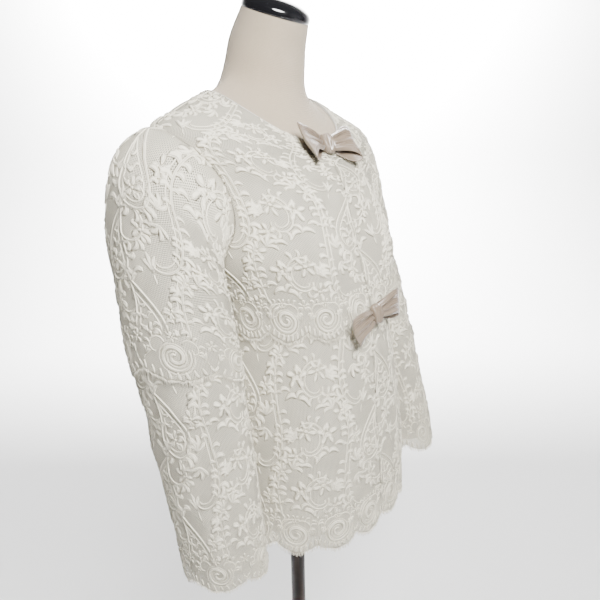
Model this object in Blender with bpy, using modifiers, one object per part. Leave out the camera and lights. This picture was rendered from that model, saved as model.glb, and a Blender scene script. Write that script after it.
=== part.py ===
"""Lace jacket with two satin bows, worn by a limbless dress form on a pole stand.

Units are metres, +Z is up and the garment's front faces -Y. The origin is the centre of the
base's underside, on the pole's axis. The jacket is one body surface, read from a table of
closed rings, and two sleeve surfaces that grow from its armholes. Lace, lining and form lie
on that surface one inside the other.
"""

import math

import bmesh
import bpy
import numpy as np
from mathutils import Vector

COLLECTION_NAME = "Lace jacket on dress form"

# Heights and walls
NECK_POINT_HEIGHT = 1.135
LACE_WALL = 0.0012
LINING_WALL = 0.0010
SATIN_WALL = 0.0011
LINING_DEPTH = 0.0024
FORM_DEPTH = 0.0038
SEAM_GAP = 0.0003
TIER_FLARE = 0.0019

# Scalloped edges
SCALLOP_DEPTH = 0.014
BODY_SCALLOP_COLUMNS = 3
SLEEVE_SCALLOP_COLUMNS = 4

# Body columns and rows (levels are metres up the side seam from the hem)
HALF_FRONT_COLUMNS = 12
LINING_COARSENESS = 2
NECKLINE_LEVEL = 0.680
ARMHOLE_LOW = 0.410
ARMHOLE_HIGH = 0.572
ARMHOLE_FRONT = 0.26
ARMHOLE_BACK = 0.25
ARMHOLE_STEPS = 10
BODICE_LOWER_ROWS = (0.298, 0.316, 0.333, 0.352, 0.379)
BODICE_UPPER_ROWS = (0.602, 0.641, NECKLINE_LEVEL)
SKIRT_ROWS = (0.0, 0.022, 0.075, 0.135, 0.205, 0.265, 0.298, 0.316, 0.333)
LINING_LOWER_ROWS = (0.026, 0.135, 0.205, 0.265, 0.298, 0.316, 0.333, 0.352, 0.379)
LINING_UPPER_ROWS = (0.602, 0.641, NECKLINE_LEVEL + 0.0015)

BODY_COLUMNS = ("level", "z_front", "z_side", "z_back", "y_side", "half_width", "y_front", "y_back", "square")
JACKET_SECTIONS = (
    # hem, hip, high hip, waist
    (0.000, -0.618, -0.620, -0.614, -0.024, 0.152, -0.170, 0.118, 2.50),
    (0.110, -0.508, -0.510, -0.505, -0.021, 0.147, -0.162, 0.116, 2.50),
    (0.210, -0.407, -0.408, -0.404, -0.017, 0.142, -0.152, 0.111, 2.30),
    (0.315, -0.299, -0.300, -0.296, -0.012, 0.130, -0.143, 0.106, 2.05),
    # under bust, underarm, chest
    (0.365, -0.250, -0.250, -0.246, -0.003, 0.142, -0.132, 0.110, 2.10),
    (0.410, -0.208, -0.205, -0.200, 0.005, 0.156, -0.120, 0.116, 2.20),
    (0.455, -0.168, -0.160, -0.150, 0.012, 0.163, -0.110, 0.122, 2.12),
    (0.505, -0.128, -0.108, -0.100, 0.026, 0.174, -0.096, 0.126, 2.05),
    # shoulder tip, mid shoulder, neckline
    (0.570, -0.094, -0.050, -0.056, 0.041, 0.195, -0.079, 0.122, 2.00),
    (0.625, -0.080, -0.023, -0.034, 0.049, 0.148, -0.067, 0.112, 2.15),
    (0.680, -0.067, 0.000, -0.018, 0.052, 0.100, -0.058, 0.102, 2.30),
)

# How quickly a ring falls from its sides to its front and back, by level: rounder at the neckline
DIP_LEVELS = (0.570, 0.680, 0.722)
DIP_POWERS = (2.0, 1.3, 1.0)

# The bust: place of its peak across the front, its level, its spread each way and its height
BUST_X = 0.090
BUST_LEVEL = 0.402
BUST_SPREAD_X = 0.046
BUST_SPREAD_LEVEL = 0.055
BUST_HEIGHT = 0.021

# The form's own sections: underside, hip, waist, bust, then shoulders and neck
FORM_SECTIONS = (
    (0.050, -0.566, -0.566, -0.566, -0.016, 0.140, -0.125, 0.090, 2.30),
    (0.110, -0.505, -0.505, -0.505, -0.014, 0.144, -0.130, 0.094, 2.30),
    (0.210, -0.405, -0.405, -0.405, -0.010, 0.136, -0.120, 0.090, 2.25),
    (0.315, -0.298, -0.298, -0.298, -0.004, 0.116, -0.100, 0.080, 2.20),
    (0.410, -0.208, -0.205, -0.200, 0.005, 0.148, -0.114, 0.108, 2.20),
    (0.455, -0.168, -0.160, -0.150, 0.012, 0.159, -0.108, 0.119, 2.12),
    (0.505, -0.128, -0.108, -0.100, 0.026, 0.171, -0.096, 0.126, 2.05),
    (0.570, -0.094, -0.048, -0.054, 0.041, 0.190, -0.079, 0.121, 2.00),
    (0.680, -0.067, 0.000, -0.018, 0.052, 0.100, -0.058, 0.102, 2.30),
    (0.700, -0.050, 0.008, -0.003, 0.052, 0.080, -0.043, 0.096, 2.15),
    (0.722, -0.012, 0.022, 0.034, 0.046, 0.0620, -0.018, 0.095, 2.00),
    (0.755, 0.0370, 0.0570, 0.0760, 0.0345, 0.0545, -0.0160, 0.0860, 2.00),
    (0.805, 0.0807, 0.0972, 0.1137, 0.0187, 0.0470, -0.0248, 0.0622, 2.00),
)
FORM_LOWER_ROWS = (0.05, 0.08, 0.14, 0.21, 0.265, 0.315, 0.365)
FORM_NECK_ROWS = (0.602, 0.641, 0.680, 0.700, 0.722, 0.755, 0.805)
FORM_QUARTER_COLUMNS = 6
FORM_SIDE_SHARE = 0.2
FORM_TIP_DEPTH = 0.0036
FORM_TIP_SPREAD = (0.030, 0.25)
FORM_CHEST_LEVEL = 0.48
FORM_NECK_LEVEL = 0.722

# Sleeves, wearer's right and left: the left one hangs further back, as shown
SLEEVE_COLUMNS = ("run", "blend", "x_out", "z_out", "x_in", "z_in", "y_out", "y_in", "half_depth",
                  "front_lift")
RIGHT_SLEEVE = (
    (0.000, 0.00, 0.197, -0.050, 0.156, -0.207, 0.041, 0.005, 0.064, 0.000),
    (0.014, 0.35, 0.216, -0.054, 0.165, -0.213, 0.045, 0.005, 0.070, 0.000),
    (0.034, 0.75, 0.241, -0.073, 0.169, -0.224, 0.045, 0.004, 0.077, 0.000),
    (0.062, 1.00, 0.254, -0.101, 0.170, -0.241, 0.034, 0.001, 0.079, 0.002),
    (0.105, 1.00, 0.262, -0.144, 0.169, -0.262, 0.023, 0.000, 0.083, 0.005),
    (0.160, 1.00, 0.270, -0.200, 0.167, -0.288, 0.010, -0.004, 0.084, 0.008),
    (0.220, 1.00, 0.274, -0.262, 0.166, -0.320, 0.000, -0.009, 0.0835, 0.011),
    (0.280, 1.00, 0.274, -0.322, 0.166, -0.352, -0.011, -0.016, 0.079, 0.013),
    (0.350, 1.00, 0.272, -0.394, 0.166, -0.406, -0.026, -0.027, 0.073, 0.012),
    (0.430, 1.00, 0.271, -0.474, 0.167, -0.480, -0.040, -0.042, 0.068, 0.010),
    (0.510, 1.00, 0.269, -0.554, 0.169, -0.558, -0.053, -0.055, 0.064, 0.011),
    (0.570, 1.00, 0.267, -0.605, 0.170, -0.609, -0.060, -0.061, 0.061, 0.013),
)
LEFT_SLEEVE = (
    (0.000, 0.00, 0.197, -0.050, 0.156, -0.207, 0.041, 0.005, 0.064, 0.000),
    (0.014, 0.35, 0.213, -0.055, 0.165, -0.213, 0.042, 0.006, 0.067, 0.000),
    (0.034, 0.75, 0.230, -0.075, 0.169, -0.224, 0.048, 0.013, 0.067, 0.000),
    (0.062, 1.00, 0.243, -0.103, 0.170, -0.241, 0.052, 0.023, 0.069, 0.002),
    (0.105, 1.00, 0.254, -0.146, 0.169, -0.262, 0.053, 0.034, 0.075, 0.005),
    (0.160, 1.00, 0.265, -0.201, 0.167, -0.288, 0.050, 0.041, 0.081, 0.008),
    (0.220, 1.00, 0.273, -0.262, 0.166, -0.320, 0.040, 0.037, 0.084, 0.011),
    (0.280, 1.00, 0.274, -0.322, 0.166, -0.352, 0.022, 0.020, 0.083, 0.013),
    (0.350, 1.00, 0.273, -0.394, 0.166, -0.406, -0.004, -0.004, 0.078, 0.012),
    (0.430, 1.00, 0.271, -0.474, 0.167, -0.480, -0.032, -0.032, 0.073, 0.010),
    (0.510, 1.00, 0.269, -0.556, 0.169, -0.560, -0.061, -0.061, 0.068, 0.009),
    (0.570, 1.00, 0.267, -0.618, 0.170, -0.620, -0.077, -0.077, 0.065, 0.009),
)
SLEEVE_RING_POINTS = 2 * ARMHOLE_STEPS
UPPER_SLEEVE_RUNS = (0.0, 0.014, 0.034, 0.062, 0.105, 0.160, 0.210, 0.250, 0.284)
LOWER_SLEEVE_RUNS = (0.250, 0.284, 0.315, 0.370, 0.430, 0.500, 0.550, 0.570)
SLEEVE_LINING_RUNS = (0.0, 0.014, 0.034, 0.062, 0.105, 0.160, 0.210, 0.250, 0.315, 0.370, 0.430, 0.500, 0.546)
LINING_ARMHOLE_INSET = 0.0014
UNDERARM_TUCK = 0.0035

# Large soft folds in the lace: from (x, z) to (x, z) on the front or the back, z below the neck point
FOLD_COLUMNS = ("x_from", "z_from", "x_to", "z_to", "half_width", "height", "on_front")
BODY_FOLDS = (
    # drag lines that fall from the neck bow
    (-0.012, -0.105, -0.034, -0.235, 0.010, 0.0030, True),
    (0.016, -0.105, 0.046, -0.225, 0.010, 0.0032, True),
    (-0.038, -0.104, -0.080, -0.180, 0.012, 0.0026, True),
    (0.044, -0.102, 0.084, -0.175, 0.012, 0.0026, True),
    # pulls that spread from the waist bow
    (-0.030, -0.285, -0.090, -0.255, 0.010, 0.0026, True),
    (0.030, -0.280, 0.085, -0.245, 0.010, 0.0026, True),
    (-0.028, -0.330, -0.070, -0.470, 0.014, 0.0034, True),
    (0.034, -0.330, 0.060, -0.500, 0.014, 0.0036, True),
    # soft flutes of the skirt
    (-0.100, -0.340, -0.118, -0.600, 0.016, 0.0040, True),
    (0.098, -0.340, 0.114, -0.600, 0.016, 0.0040, True),
    (-0.090, -0.330, -0.102, -0.600, 0.018, 0.0042, False),
    (-0.030, -0.350, -0.036, -0.590, 0.016, 0.0034, False),
    (0.040, -0.340, 0.048, -0.590, 0.017, 0.0038, False),
    (0.094, -0.330, 0.106, -0.600, 0.018, 0.0042, False),
    # slack across the back
    (-0.100, -0.150, -0.055, -0.280, 0.014, 0.0028, False),
    (0.096, -0.155, 0.050, -0.280, 0.014, 0.0028, False),
)
SLEEVE_FOLD_COLUMNS = ("turn_from", "run_from", "turn_to", "run_to", "half_width", "height")
SLEEVE_FOLDS = (
    (0.45, 0.075, 1.45, 0.155, 0.013, 0.0034),
    (5.85, 0.080, 5.00, 0.165, 0.013, 0.0032),
    (0.35, 0.330, 1.60, 0.300, 0.012, 0.0034),
    (0.20, 0.395, 1.75, 0.350, 0.013, 0.0038),
    (5.95, 0.400, 4.85, 0.345, 0.013, 0.0032),
    (0.55, 0.440, 0.80, 0.545, 0.014, 0.0030),
)

# Bows: centre height below the neck point, tilt, size
BOW_COLUMNS = ("z", "tilt", "loop_length", "neck_half", "end_half", "belly", "knot_half_width",
               "knot_half_height", "knot_height", "seat")
BOWS = {
    "neck_bow": (-0.072, math.radians(-3), 0.037, 0.010, 0.0185, 0.013, 0.0110, 0.0140, 0.014, 0.0005),
    "waist_bow": (-0.294, math.radians(9), 0.038, 0.010, 0.0190, 0.014, 0.0095, 0.0140, 0.014, 0.0024),
}
LOOP_SPRING = 0.009
LOOP_DROOP = 0.005
LOOP_STATIONS = 9
LOOP_WIDTH_STEPS = 5

# Stand
POLE_RADIUS = 0.0125
POLE_SOCKET_GAP = 0.0003
POLE_SOCKET_DEPTH = 0.025
BASE_RADIUS = 0.190
BASE_SOCKET_FLOOR = 0.006
BASE_PROFILE = (
    # radius, height, down the outer side and in under the base
    (0.0225, 0.034), (0.0235, 0.026), (0.060, 0.0185), (0.160, 0.0125), (0.184, 0.0105),
    (BASE_RADIUS, 0.006), (0.188, 0.0), (0.0, 0.0),
)
ROUND_STEPS = 32
CAP_CENTRE = (0.0, 0.0187, 0.0972)
CAP_LEAN = math.atan2(0.0165, 0.0435)
CAP_PROFILE = (
    # radius, height above the neck's top, from the dome down the side
    (0.0, 0.0225), (0.017, 0.0215), (0.032, 0.0185), (0.0420, 0.0138), (0.0464, 0.0092),
    (0.0475, 0.0050), (0.0475, 0.0018), (0.0465, 0.0005), (0.0, 0.0005),
)

MATERIALS = {
    # colour, roughness, metallic
    "lace": ((0.72, 0.69, 0.62, 1.0), 0.85, 0.0),
    "lining": ((0.70, 0.69, 0.66, 1.0), 0.45, 0.0),
    "satin": ((0.62, 0.53, 0.46, 1.0), 0.32, 0.0),
    "linen": ((0.58, 0.53, 0.46, 1.0), 0.90, 0.0),
    "black_gloss": ((0.004, 0.004, 0.004, 1.0), 0.12, 0.0),
    "dark_wood": ((0.045, 0.022, 0.014, 1.0), 0.35, 0.0),
}


def clear_scene():
    """Remove every object, mesh and material that the file already holds."""
    for item in list(bpy.data.objects):
        bpy.data.objects.remove(item, do_unlink=True)
    for store in (bpy.data.meshes, bpy.data.materials):
        for item in list(store):
            store.remove(item)


class Table:
    """Rows with named columns, read smoothly between rows."""

    def __init__(self, columns, rows):
        self.columns = columns
        self.keys = np.array([row[0] for row in rows])
        self.rows = np.array(rows, dtype=float)
        steps = np.diff(self.rows, axis=0) / np.diff(self.keys)[:, None]
        inner = (steps[1:] + steps[:-1]) / 2
        self.slopes = np.vstack((steps[:1], inner, steps[-1:]))

    def read(self, key):
        """Return the columns at a key as a dictionary, straight on past either end."""
        last = len(self.keys) - 1
        if key <= self.keys[0] or key >= self.keys[last]:
            end = 0 if key <= self.keys[0] else last
            values = self.rows[end] + self.slopes[end] * (key - self.keys[end])
        else:
            i = int(np.searchsorted(self.keys, key)) - 1
            width = self.keys[i + 1] - self.keys[i]
            t = (key - self.keys[i]) / width
            values = (
                (2 * t**3 - 3 * t**2 + 1) * self.rows[i]
                + (t**3 - 2 * t**2 + t) * width * self.slopes[i]
                + (3 * t**2 - 2 * t**3) * self.rows[i + 1]
                + (t**3 - t**2) * width * self.slopes[i + 1]
            )
        return dict(zip(self.columns, values))


class Body:
    """A stack of closed rings; position 0 is the centre front, 1 the side and 2 the centre back."""

    def __init__(self, sections):
        self.table = Table(BODY_COLUMNS, sections)
        self.quarters = {}

    def quarter(self, level, back):
        """Return arc fractions and points of one quarter ring, from the centre line to the side."""
        key = (round(level, 7), back)
        if key not in self.quarters:
            row = self.table.read(level)
            turn = np.linspace(0.0, math.pi / 2, 49)
            power = 2.0 / row["square"]
            y_end = row["y_back"] if back else row["y_front"]
            z_end = row["z_back"] if back else row["z_front"]
            x = row["half_width"] * np.sin(turn) ** power
            y = row["y_side"] + (y_end - row["y_side"]) * np.clip(np.cos(turn), 0, 1) ** power
            dip = np.interp(level, DIP_LEVELS, DIP_POWERS)
            z = row["z_side"] + (z_end - row["z_side"]) * np.clip(np.cos(turn), 0, 1) ** dip
            if not back:
                off = ((x - BUST_X) / BUST_SPREAD_X) ** 2 + ((level - BUST_LEVEL) / BUST_SPREAD_LEVEL) ** 2
                y = y - BUST_HEIGHT * np.exp(-off) * (1 - (x / row["half_width"]) ** 4)
            points = np.column_stack((x, y, z))
            run = np.concatenate(([0.0], np.cumsum(np.linalg.norm(np.diff(points, axis=0), axis=1))))
            self.quarters[key] = (run / run[-1], points)
        return self.quarters[key]

    def point(self, position, level):
        """Return a point below the neck point; a negative position is on the wearer's right."""
        place = abs(position)
        side = -1.0 if position < 0 else 1.0
        if place > 2:
            place, side = 4 - place, -side
        back = place > 1
        fractions, points = self.quarter(level, back)
        fraction = 2 - place if back else place
        found = np.array([np.interp(fraction, fractions, points[:, axis]) for axis in range(3)])
        found[0] *= side
        return found

    def normal(self, position, level):
        """Return the outward direction at a point."""
        step = 0.01
        side = -1.0 if position < 0 else 1.0
        place = abs(position)
        across = self.point(place + step, level) - self.point(place - step, level)
        up = self.point(place, level + 0.004) - self.point(place, level - 0.004)
        out = np.cross(across, up)
        out /= np.linalg.norm(out)
        out[0] *= side
        return out

    def moved(self, position, level, outward):
        """Return a point moved outward from the surface."""
        return self.point(position, level) + self.normal(position, level) * outward


JACKET = Body(JACKET_SECTIONS)
FORM = Body(FORM_SECTIONS)


def fold_height(rows, columns, here, test=None):
    """Return how far the folds of a table lift the lace at a place in the table's coordinates."""
    height = 0.0
    for values in rows:
        row = dict(zip(columns, values))
        if test is not None and not test(row):
            continue
        start = np.array(values[0:2])
        end = np.array(values[2:4])
        line = end - start
        t = float(np.clip(np.dot(here - start, line) / np.dot(line, line), 0, 1))
        gap = np.linalg.norm(here - start - line * t)
        ends = min(1.0, 4 * t + 0.25, 4 * (1 - t) + 0.25)
        height = max(height, row["height"] * ends * math.exp(-((gap / row["half_width"]) ** 2)))
    return height


def body_fold(point, position):
    """Return the lift of the body lace at a point."""
    on_front = abs(position) < 1
    here = np.array((point[0], point[2]))
    return fold_height(BODY_FOLDS, FOLD_COLUMNS, here, lambda row: row["on_front"] == on_front)


def armhole_reach(level, back):
    """Return how far the armhole cuts in from the side line at a level."""
    middle = (ARMHOLE_LOW + ARMHOLE_HIGH) / 2
    half = (ARMHOLE_HIGH - ARMHOLE_LOW) / 2
    part = 1 - ((level - middle) / half) ** 2
    width = ARMHOLE_BACK if back else ARMHOLE_FRONT
    return width * math.sqrt(part) if part > 1e-9 else 0.0


def armhole_rows():
    """Return the rows through the armhole, even around its edge."""
    middle = (ARMHOLE_LOW + ARMHOLE_HIGH) / 2
    half = (ARMHOLE_HIGH - ARMHOLE_LOW) / 2
    return [middle - half * math.cos(math.pi * k / ARMHOLE_STEPS) for k in range(ARMHOLE_STEPS + 1)]


def armhole_place(turn):
    """Return position and level on the armhole; turn 0 is the shoulder tip and pi/2 the front."""
    middle = (ARMHOLE_LOW + ARMHOLE_HIGH) / 2
    half = (ARMHOLE_HIGH - ARMHOLE_LOW) / 2
    width = ARMHOLE_FRONT if math.sin(turn) >= 0 else ARMHOLE_BACK
    return 1 - width * math.sin(turn), middle + half * math.cos(turn)


class Sleeve:
    """A tube of tilted rings that starts as the armhole's own ring."""

    def __init__(self, rows):
        self.table = Table(SLEEVE_COLUMNS, rows)

    def point(self, turn, run):
        """Return a point on the wearer's left, at a turn about the arm and a run down it."""
        row = self.table.read(run)
        blend = min(1.0, max(0.0, row["blend"]))
        outer = (1 + math.cos(turn)) / 2
        forward = math.sin(turn)
        ring = np.array((
            row["x_in"] + (row["x_out"] - row["x_in"]) * outer,
            row["y_in"] + (row["y_out"] - row["y_in"]) * outer - row["half_depth"] * forward,
            row["z_in"] + (row["z_out"] - row["z_in"]) * outer + row["front_lift"] * forward,
        ))
        if blend >= 1.0:
            return ring
        return JACKET.point(*armhole_place(turn)) * (1 - blend) + ring * blend

    def normal(self, turn, run):
        """Return the direction out of the sleeve."""
        around = self.point(turn + 0.03, run) - self.point(turn - 0.03, run)
        along = self.point(turn, run + 0.004) - self.point(turn, max(0.0, run - 0.004))
        out = np.cross(around, along)
        return out / np.linalg.norm(out)

    def fold(self, turn, run):
        """Return the lift of the sleeve lace; a turn is measured as the arc it spans."""
        radius = 0.062
        rows = [(f[0] * radius, f[1], f[2] * radius, f[3], f[4], f[5]) for f in SLEEVE_FOLDS]
        here = np.array(((turn % math.tau) * radius, run))
        return fold_height(rows, SLEEVE_FOLD_COLUMNS, here)


def edge_rise(row_number, column, columns_per_scallop):
    """Return how far the first rows follow the scalloped edge: all the way at the points between."""
    shares = (1.0, 0.35)
    if row_number >= len(shares):
        return 0.0
    return SCALLOP_DEPTH * shares[row_number] * (1 - abs(math.sin(math.pi * column / columns_per_scallop)))


def tier_flare(distance):
    """Return how far a tier stands out over the tier below it, by the distance from its edge."""
    return TIER_FLARE * min(1.0, max(0.0, (0.080 - distance) / 0.040))


def body_positions(panel, level, steps):
    """Return the positions of a panel's columns at a level, right to left seen from outside."""
    if panel == "back":
        reach = 1 + armhole_reach(level, True)
        half = [reach + (2 - reach) * k / steps for k in range(steps + 1)]
        return half + [-p for p in reversed(half[:-1])]
    reach = 1 - armhole_reach(level, False)
    half = [reach * k / steps for k in range(steps + 1)]
    return [-p for p in reversed(half)] if panel == "front_right" else half


def pull_edges(grid, first, last):
    """Move a grid's first and last columns inward along their rows by the given gaps."""
    for row in grid:
        for edge, neighbour, gap in ((0, 1, first), (-1, -2, last)):
            line = row[neighbour] - row[edge]
            row[edge] = row[edge] + line / np.linalg.norm(line) * gap


def tier_share(tier, level):
    """Return how much of a fold a tier takes: none where the tiers lie over one another."""
    if tier == "bodice":
        return min(1.0, max(0.0, (level - BODICE_LOWER_ROWS[0]) / 0.03))
    return min(1.0, max(0.0, (0.292 - level) / 0.03))


def sleeve_share(tier, run):
    """Return how much of a fold a sleeve tier takes: none at the armhole and under the other tier."""
    if tier == "upper":
        return min(1.0, max(0.0, run - 0.02) / 0.03, max(0.0, UPPER_SLEEVE_RUNS[-1] - run) / 0.03)
    return min(1.0, max(0.0, run - UPPER_SLEEVE_RUNS[-1] - 0.006) / 0.03)


def underarm_tuck(level):
    """Return how much further the linings reach into the armhole near its lowest point."""
    part = (ARMHOLE_HIGH - level) / (ARMHOLE_HIGH - ARMHOLE_LOW)
    return UNDERARM_TUCK * max(0.0, 2 * part - 1)


def body_panel(panel, rows, steps, depth, tier=None):
    """Return a panel's points at a depth: rows from the bottom up, columns along the row."""
    scale = HALF_FRONT_COLUMNS // steps
    grid = []
    for number, level in enumerate(rows):
        line = []
        positions = body_positions(panel, level, steps)
        count = len(positions)
        for column, position in enumerate(positions):
            at = level
            if tier is not None:
                at += edge_rise(number, column * scale, BODY_SCALLOP_COLUMNS)
            out = -depth
            if tier == "bodice":
                out += tier_flare(at - rows[0])
            point = JACKET.point(position, at)
            if tier is not None:
                out += body_fold(point, position) * tier_share(tier, at)
            point = point + JACKET.normal(position, at) * out
            inside = ARMHOLE_LOW - 1e-6 < level < ARMHOLE_HIGH + 1e-6
            if tier is None and inside and is_armhole_column(panel, column, count):
                inward = armhole_inward(position, level)
                point = point + inward * (LINING_ARMHOLE_INSET + underarm_tuck(level))
            line.append(point)
        grid.append(line)
    grid = np.array(grid)
    first = SEAM_GAP if panel == "front_left" else SEAM_GAP / 2
    last = SEAM_GAP if panel == "front_right" else SEAM_GAP / 2
    pull_edges(grid, first, last)
    grid[:, :, 2] += NECK_POINT_HEIGHT
    return grid


def is_armhole_column(panel, column, count):
    """Tell whether a column is one that runs along an armhole."""
    first = column == 0 and panel in ("back", "front_right")
    last = column == count - 1 and panel in ("back", "front_left")
    return first or last


def armhole_inward(position, level):
    """Return the direction from the armhole's edge towards the middle of its opening."""
    side = -1.0 if position < 0 else 1.0
    middle = JACKET.point(side, (ARMHOLE_LOW + ARMHOLE_HIGH) / 2)
    line = middle - JACKET.point(position, level)
    normal = JACKET.normal(position, level)
    line -= normal * np.dot(line, normal)
    return line / np.linalg.norm(line)


def sleeve_tube(rows, side, runs, points, depth, tier=None):
    """Return a sleeve tube's points at a depth: rows down the arm, columns about it."""
    sleeve = Sleeve(rows)
    scale = SLEEVE_RING_POINTS // points
    grid = []
    for number, run in enumerate(runs):
        line = []
        for column in range(points):
            turn = math.tau * column / points
            from_edge = len(runs) - 1 - number
            at = run
            if tier is not None:
                at -= edge_rise(from_edge, column * scale, SLEEVE_SCALLOP_COLUMNS)
            out = -depth
            if tier == "upper":
                out += tier_flare(runs[-1] - at)
            if tier is not None:
                out += sleeve.fold(turn, at) * sleeve_share(tier, at)
            point = sleeve.point(turn, at) + sleeve.normal(turn, at) * out
            if run == 0.0:
                body = JACKET.normal(*armhole_place(turn))
                if tier is None:
                    position, level = armhole_place(turn)
                    inward = armhole_inward(position, level)
                    tuck = depth - LINING_DEPTH + 0.0019 + underarm_tuck(level)
                    point = sleeve.point(turn, 0.0) + inward * tuck - body * (LINING_DEPTH - 0.0005)
                else:
                    forward = sleeve.point(turn, 0.014) - sleeve.point(turn, 0.0)
                    point = point + forward / np.linalg.norm(forward) * SEAM_GAP
            line.append(point)
        grid.append(line)
    grid = np.array(grid)
    grid[:, :, 2] += NECK_POINT_HEIGHT
    if side < 0:
        grid = grid[:, ::-1]
        grid[:, :, 0] *= -1
    return grid


def make_material(name):
    """Return one Principled material."""
    colour, roughness, metallic = MATERIALS[name]
    material = bpy.data.materials.new(name)
    material.use_nodes = True
    shader = material.node_tree.nodes["Principled BSDF"]
    shader.inputs["Base Color"].default_value = colour
    shader.inputs["Roughness"].default_value = roughness
    shader.inputs["Metallic"].default_value = metallic
    return material


def new_object(name, bm, kind, collection):
    """Turn a bmesh into a named, smooth-shaded object of the collection with its own material."""
    mesh = bpy.data.meshes.new(name)
    bm.to_mesh(mesh)
    bm.free()
    item = bpy.data.objects.new(name, mesh)
    material = make_material(kind)
    material.name = f"{name}_{kind}"
    mesh.materials.append(material)
    collection.objects.link(item)
    mesh.shade_smooth()
    mesh.set_sharp_from_angle(angle=math.radians(40))
    return item


def loft_faces(bm, grid, closed):
    """Add a grid's faces, in triangles that all run the same way."""
    verts = [[bm.verts.new(point) for point in row] for row in grid]
    join_rows(bm, verts, closed)
    return verts


def join_rows(bm, verts, closed):
    """Join rows of vertices with triangles."""
    columns = len(verts[0])
    for low, high in zip(verts, verts[1:]):
        for j in range(columns if closed else columns - 1):
            k = (j + 1) % columns
            bm.faces.new((low[j], low[k], high[k]))
            bm.faces.new((low[j], high[k], high[j]))


def add_wall(name, outer, inner, kind, collection, closed=False):
    """Make a thin-walled cloth piece between its outer and inner points."""
    bm = bmesh.new()
    front = loft_faces(bm, outer, closed)
    back = loft_faces(bm, inner, closed)
    bmesh.ops.reverse_faces(bm, faces=[f for f in bm.faces if f.verts[0] in {v for row in back for v in row}])
    join_rows(bm, [back[0], front[0]], closed)
    join_rows(bm, [front[-1], back[-1]], closed)
    if not closed:
        join_rows(bm, [[row[0] for row in front], [row[0] for row in back]], False)
        join_rows(bm, [[row[-1] for row in back], [row[-1] for row in front]], False)
    return new_object(name, bm, kind, collection)


def add_body_pieces(collection):
    """Make the lace and the lining of the body."""
    holes = armhole_rows()
    bodice_rows = list(BODICE_LOWER_ROWS) + holes + list(BODICE_UPPER_ROWS)
    lining_rows = list(LINING_LOWER_ROWS) + holes + list(LINING_UPPER_ROWS)
    pieces = (
        # name, rows, lace columns to one of its own, depth, wall, tier, material
        ("bodice", bodice_rows, 1, 0.0, LACE_WALL, "bodice", "lace"),
        ("skirt", list(SKIRT_ROWS), 1, 0.0, LACE_WALL, "skirt", "lace"),
        ("lining", lining_rows, LINING_COARSENESS, LINING_DEPTH, LINING_WALL, None, "lining"),
    )
    for name, rows, coarse, depth, wall, tier, kind in pieces:
        for panel in ("front_right", "front_left", "back"):
            steps = HALF_FRONT_COLUMNS // coarse
            outer = body_panel(panel, rows, steps, depth, tier)
            inner = body_panel(panel, rows, steps, depth + wall, tier)
            add_wall(f"{name}_{panel}", outer, inner, kind, collection)


def add_sleeves(collection):
    """Make both tiers and the lining of each sleeve."""
    points = SLEEVE_RING_POINTS
    pieces = (
        # name, runs, points about the arm, depth, wall, tier, material
        ("sleeve_upper", UPPER_SLEEVE_RUNS, points, 0.0, LACE_WALL, "upper", "lace"),
        ("sleeve_lower", LOWER_SLEEVE_RUNS, points, 0.0, LACE_WALL, "lower", "lace"),
        ("lining_sleeve", SLEEVE_LINING_RUNS, points // 2, LINING_DEPTH, LINING_WALL, None, "lining"),
    )
    for side, word, rows in ((-1, "right", RIGHT_SLEEVE), (1, "left", LEFT_SLEEVE)):
        for name, runs, count, depth, wall, tier, kind in pieces:
            outer = sleeve_tube(rows, side, runs, count, depth, tier)
            inner = sleeve_tube(rows, side, runs, count, depth + wall, tier)
            add_wall(f"{name}_{word}", outer, inner, kind, collection, closed=True)


def form_ring(level):
    """Return one closed ring of the form, with its columns under those of the lining."""
    steps = FORM_QUARTER_COLUMNS
    front = 1 - armhole_reach(level, False)
    back = 1 + armhole_reach(level, True)
    half = [front * k / steps for k in range(steps + 1)] + [1.0]
    half += [back + (2 - back) * k / steps for k in range(steps + 1)]
    positions = half + [-p for p in reversed(half[1:-1])]
    neck = min(1.0, max(0.0, (level - NECKLINE_LEVEL) / (FORM_NECK_LEVEL - NECKLINE_LEVEL)))
    body = JACKET if FORM_CHEST_LEVEL < level < NECKLINE_LEVEL + 0.001 else FORM
    ring = []
    for position in positions:
        # the form sits a little lower under the shoulder tip, clear of the armhole's edge
        off = (level - ARMHOLE_HIGH) / FORM_TIP_SPREAD[0], (abs(position) - 1) / FORM_TIP_SPREAD[1]
        tip = FORM_TIP_DEPTH * math.exp(-off[0] ** 2 - off[1] ** 2)
        ring.append(body.moved(position, level, -FORM_DEPTH * (1 - neck) - tip))
    ring = np.array(ring)
    side = steps + 1
    count = len(ring)
    if back - front < 2 * FORM_SIDE_SHARE / steps:
        # beside the side line the ring keeps to the straight lines between the lining's columns
        for middle in (side, count - side):
            for edge, neighbour in ((middle - 1, middle - 2), (middle + 1, middle + 2)):
                ring[edge] = ring[middle] + (ring[neighbour] - ring[middle]) * FORM_SIDE_SHARE
    ring[:, 2] += NECK_POINT_HEIGHT
    return ring


def add_form(collection):
    """Make the form's torso and neck as one body with a socket for the pole."""
    levels = list(FORM_LOWER_ROWS) + armhole_rows() + list(FORM_NECK_ROWS)
    rings = [form_ring(level) for level in levels]
    floor = rings[0][:, 2].mean()
    rings[0][:, 2] = floor
    hole = POLE_RADIUS + POLE_SOCKET_GAP
    count = len(rings[0])
    turns = [-math.pi / 2 + math.tau * k / count for k in range(count)]
    mouth = np.array([(hole * math.cos(t), hole * math.sin(t), floor) for t in turns])
    deep = mouth + np.array((0, 0, POLE_SOCKET_DEPTH))
    bm = bmesh.new()
    verts = loft_faces(bm, [deep, mouth] + rings, True)
    bm.faces.new(reversed(verts[0]))
    bm.faces.new(verts[-1])
    return new_object("form_torso", bm, "linen", collection)


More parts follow.
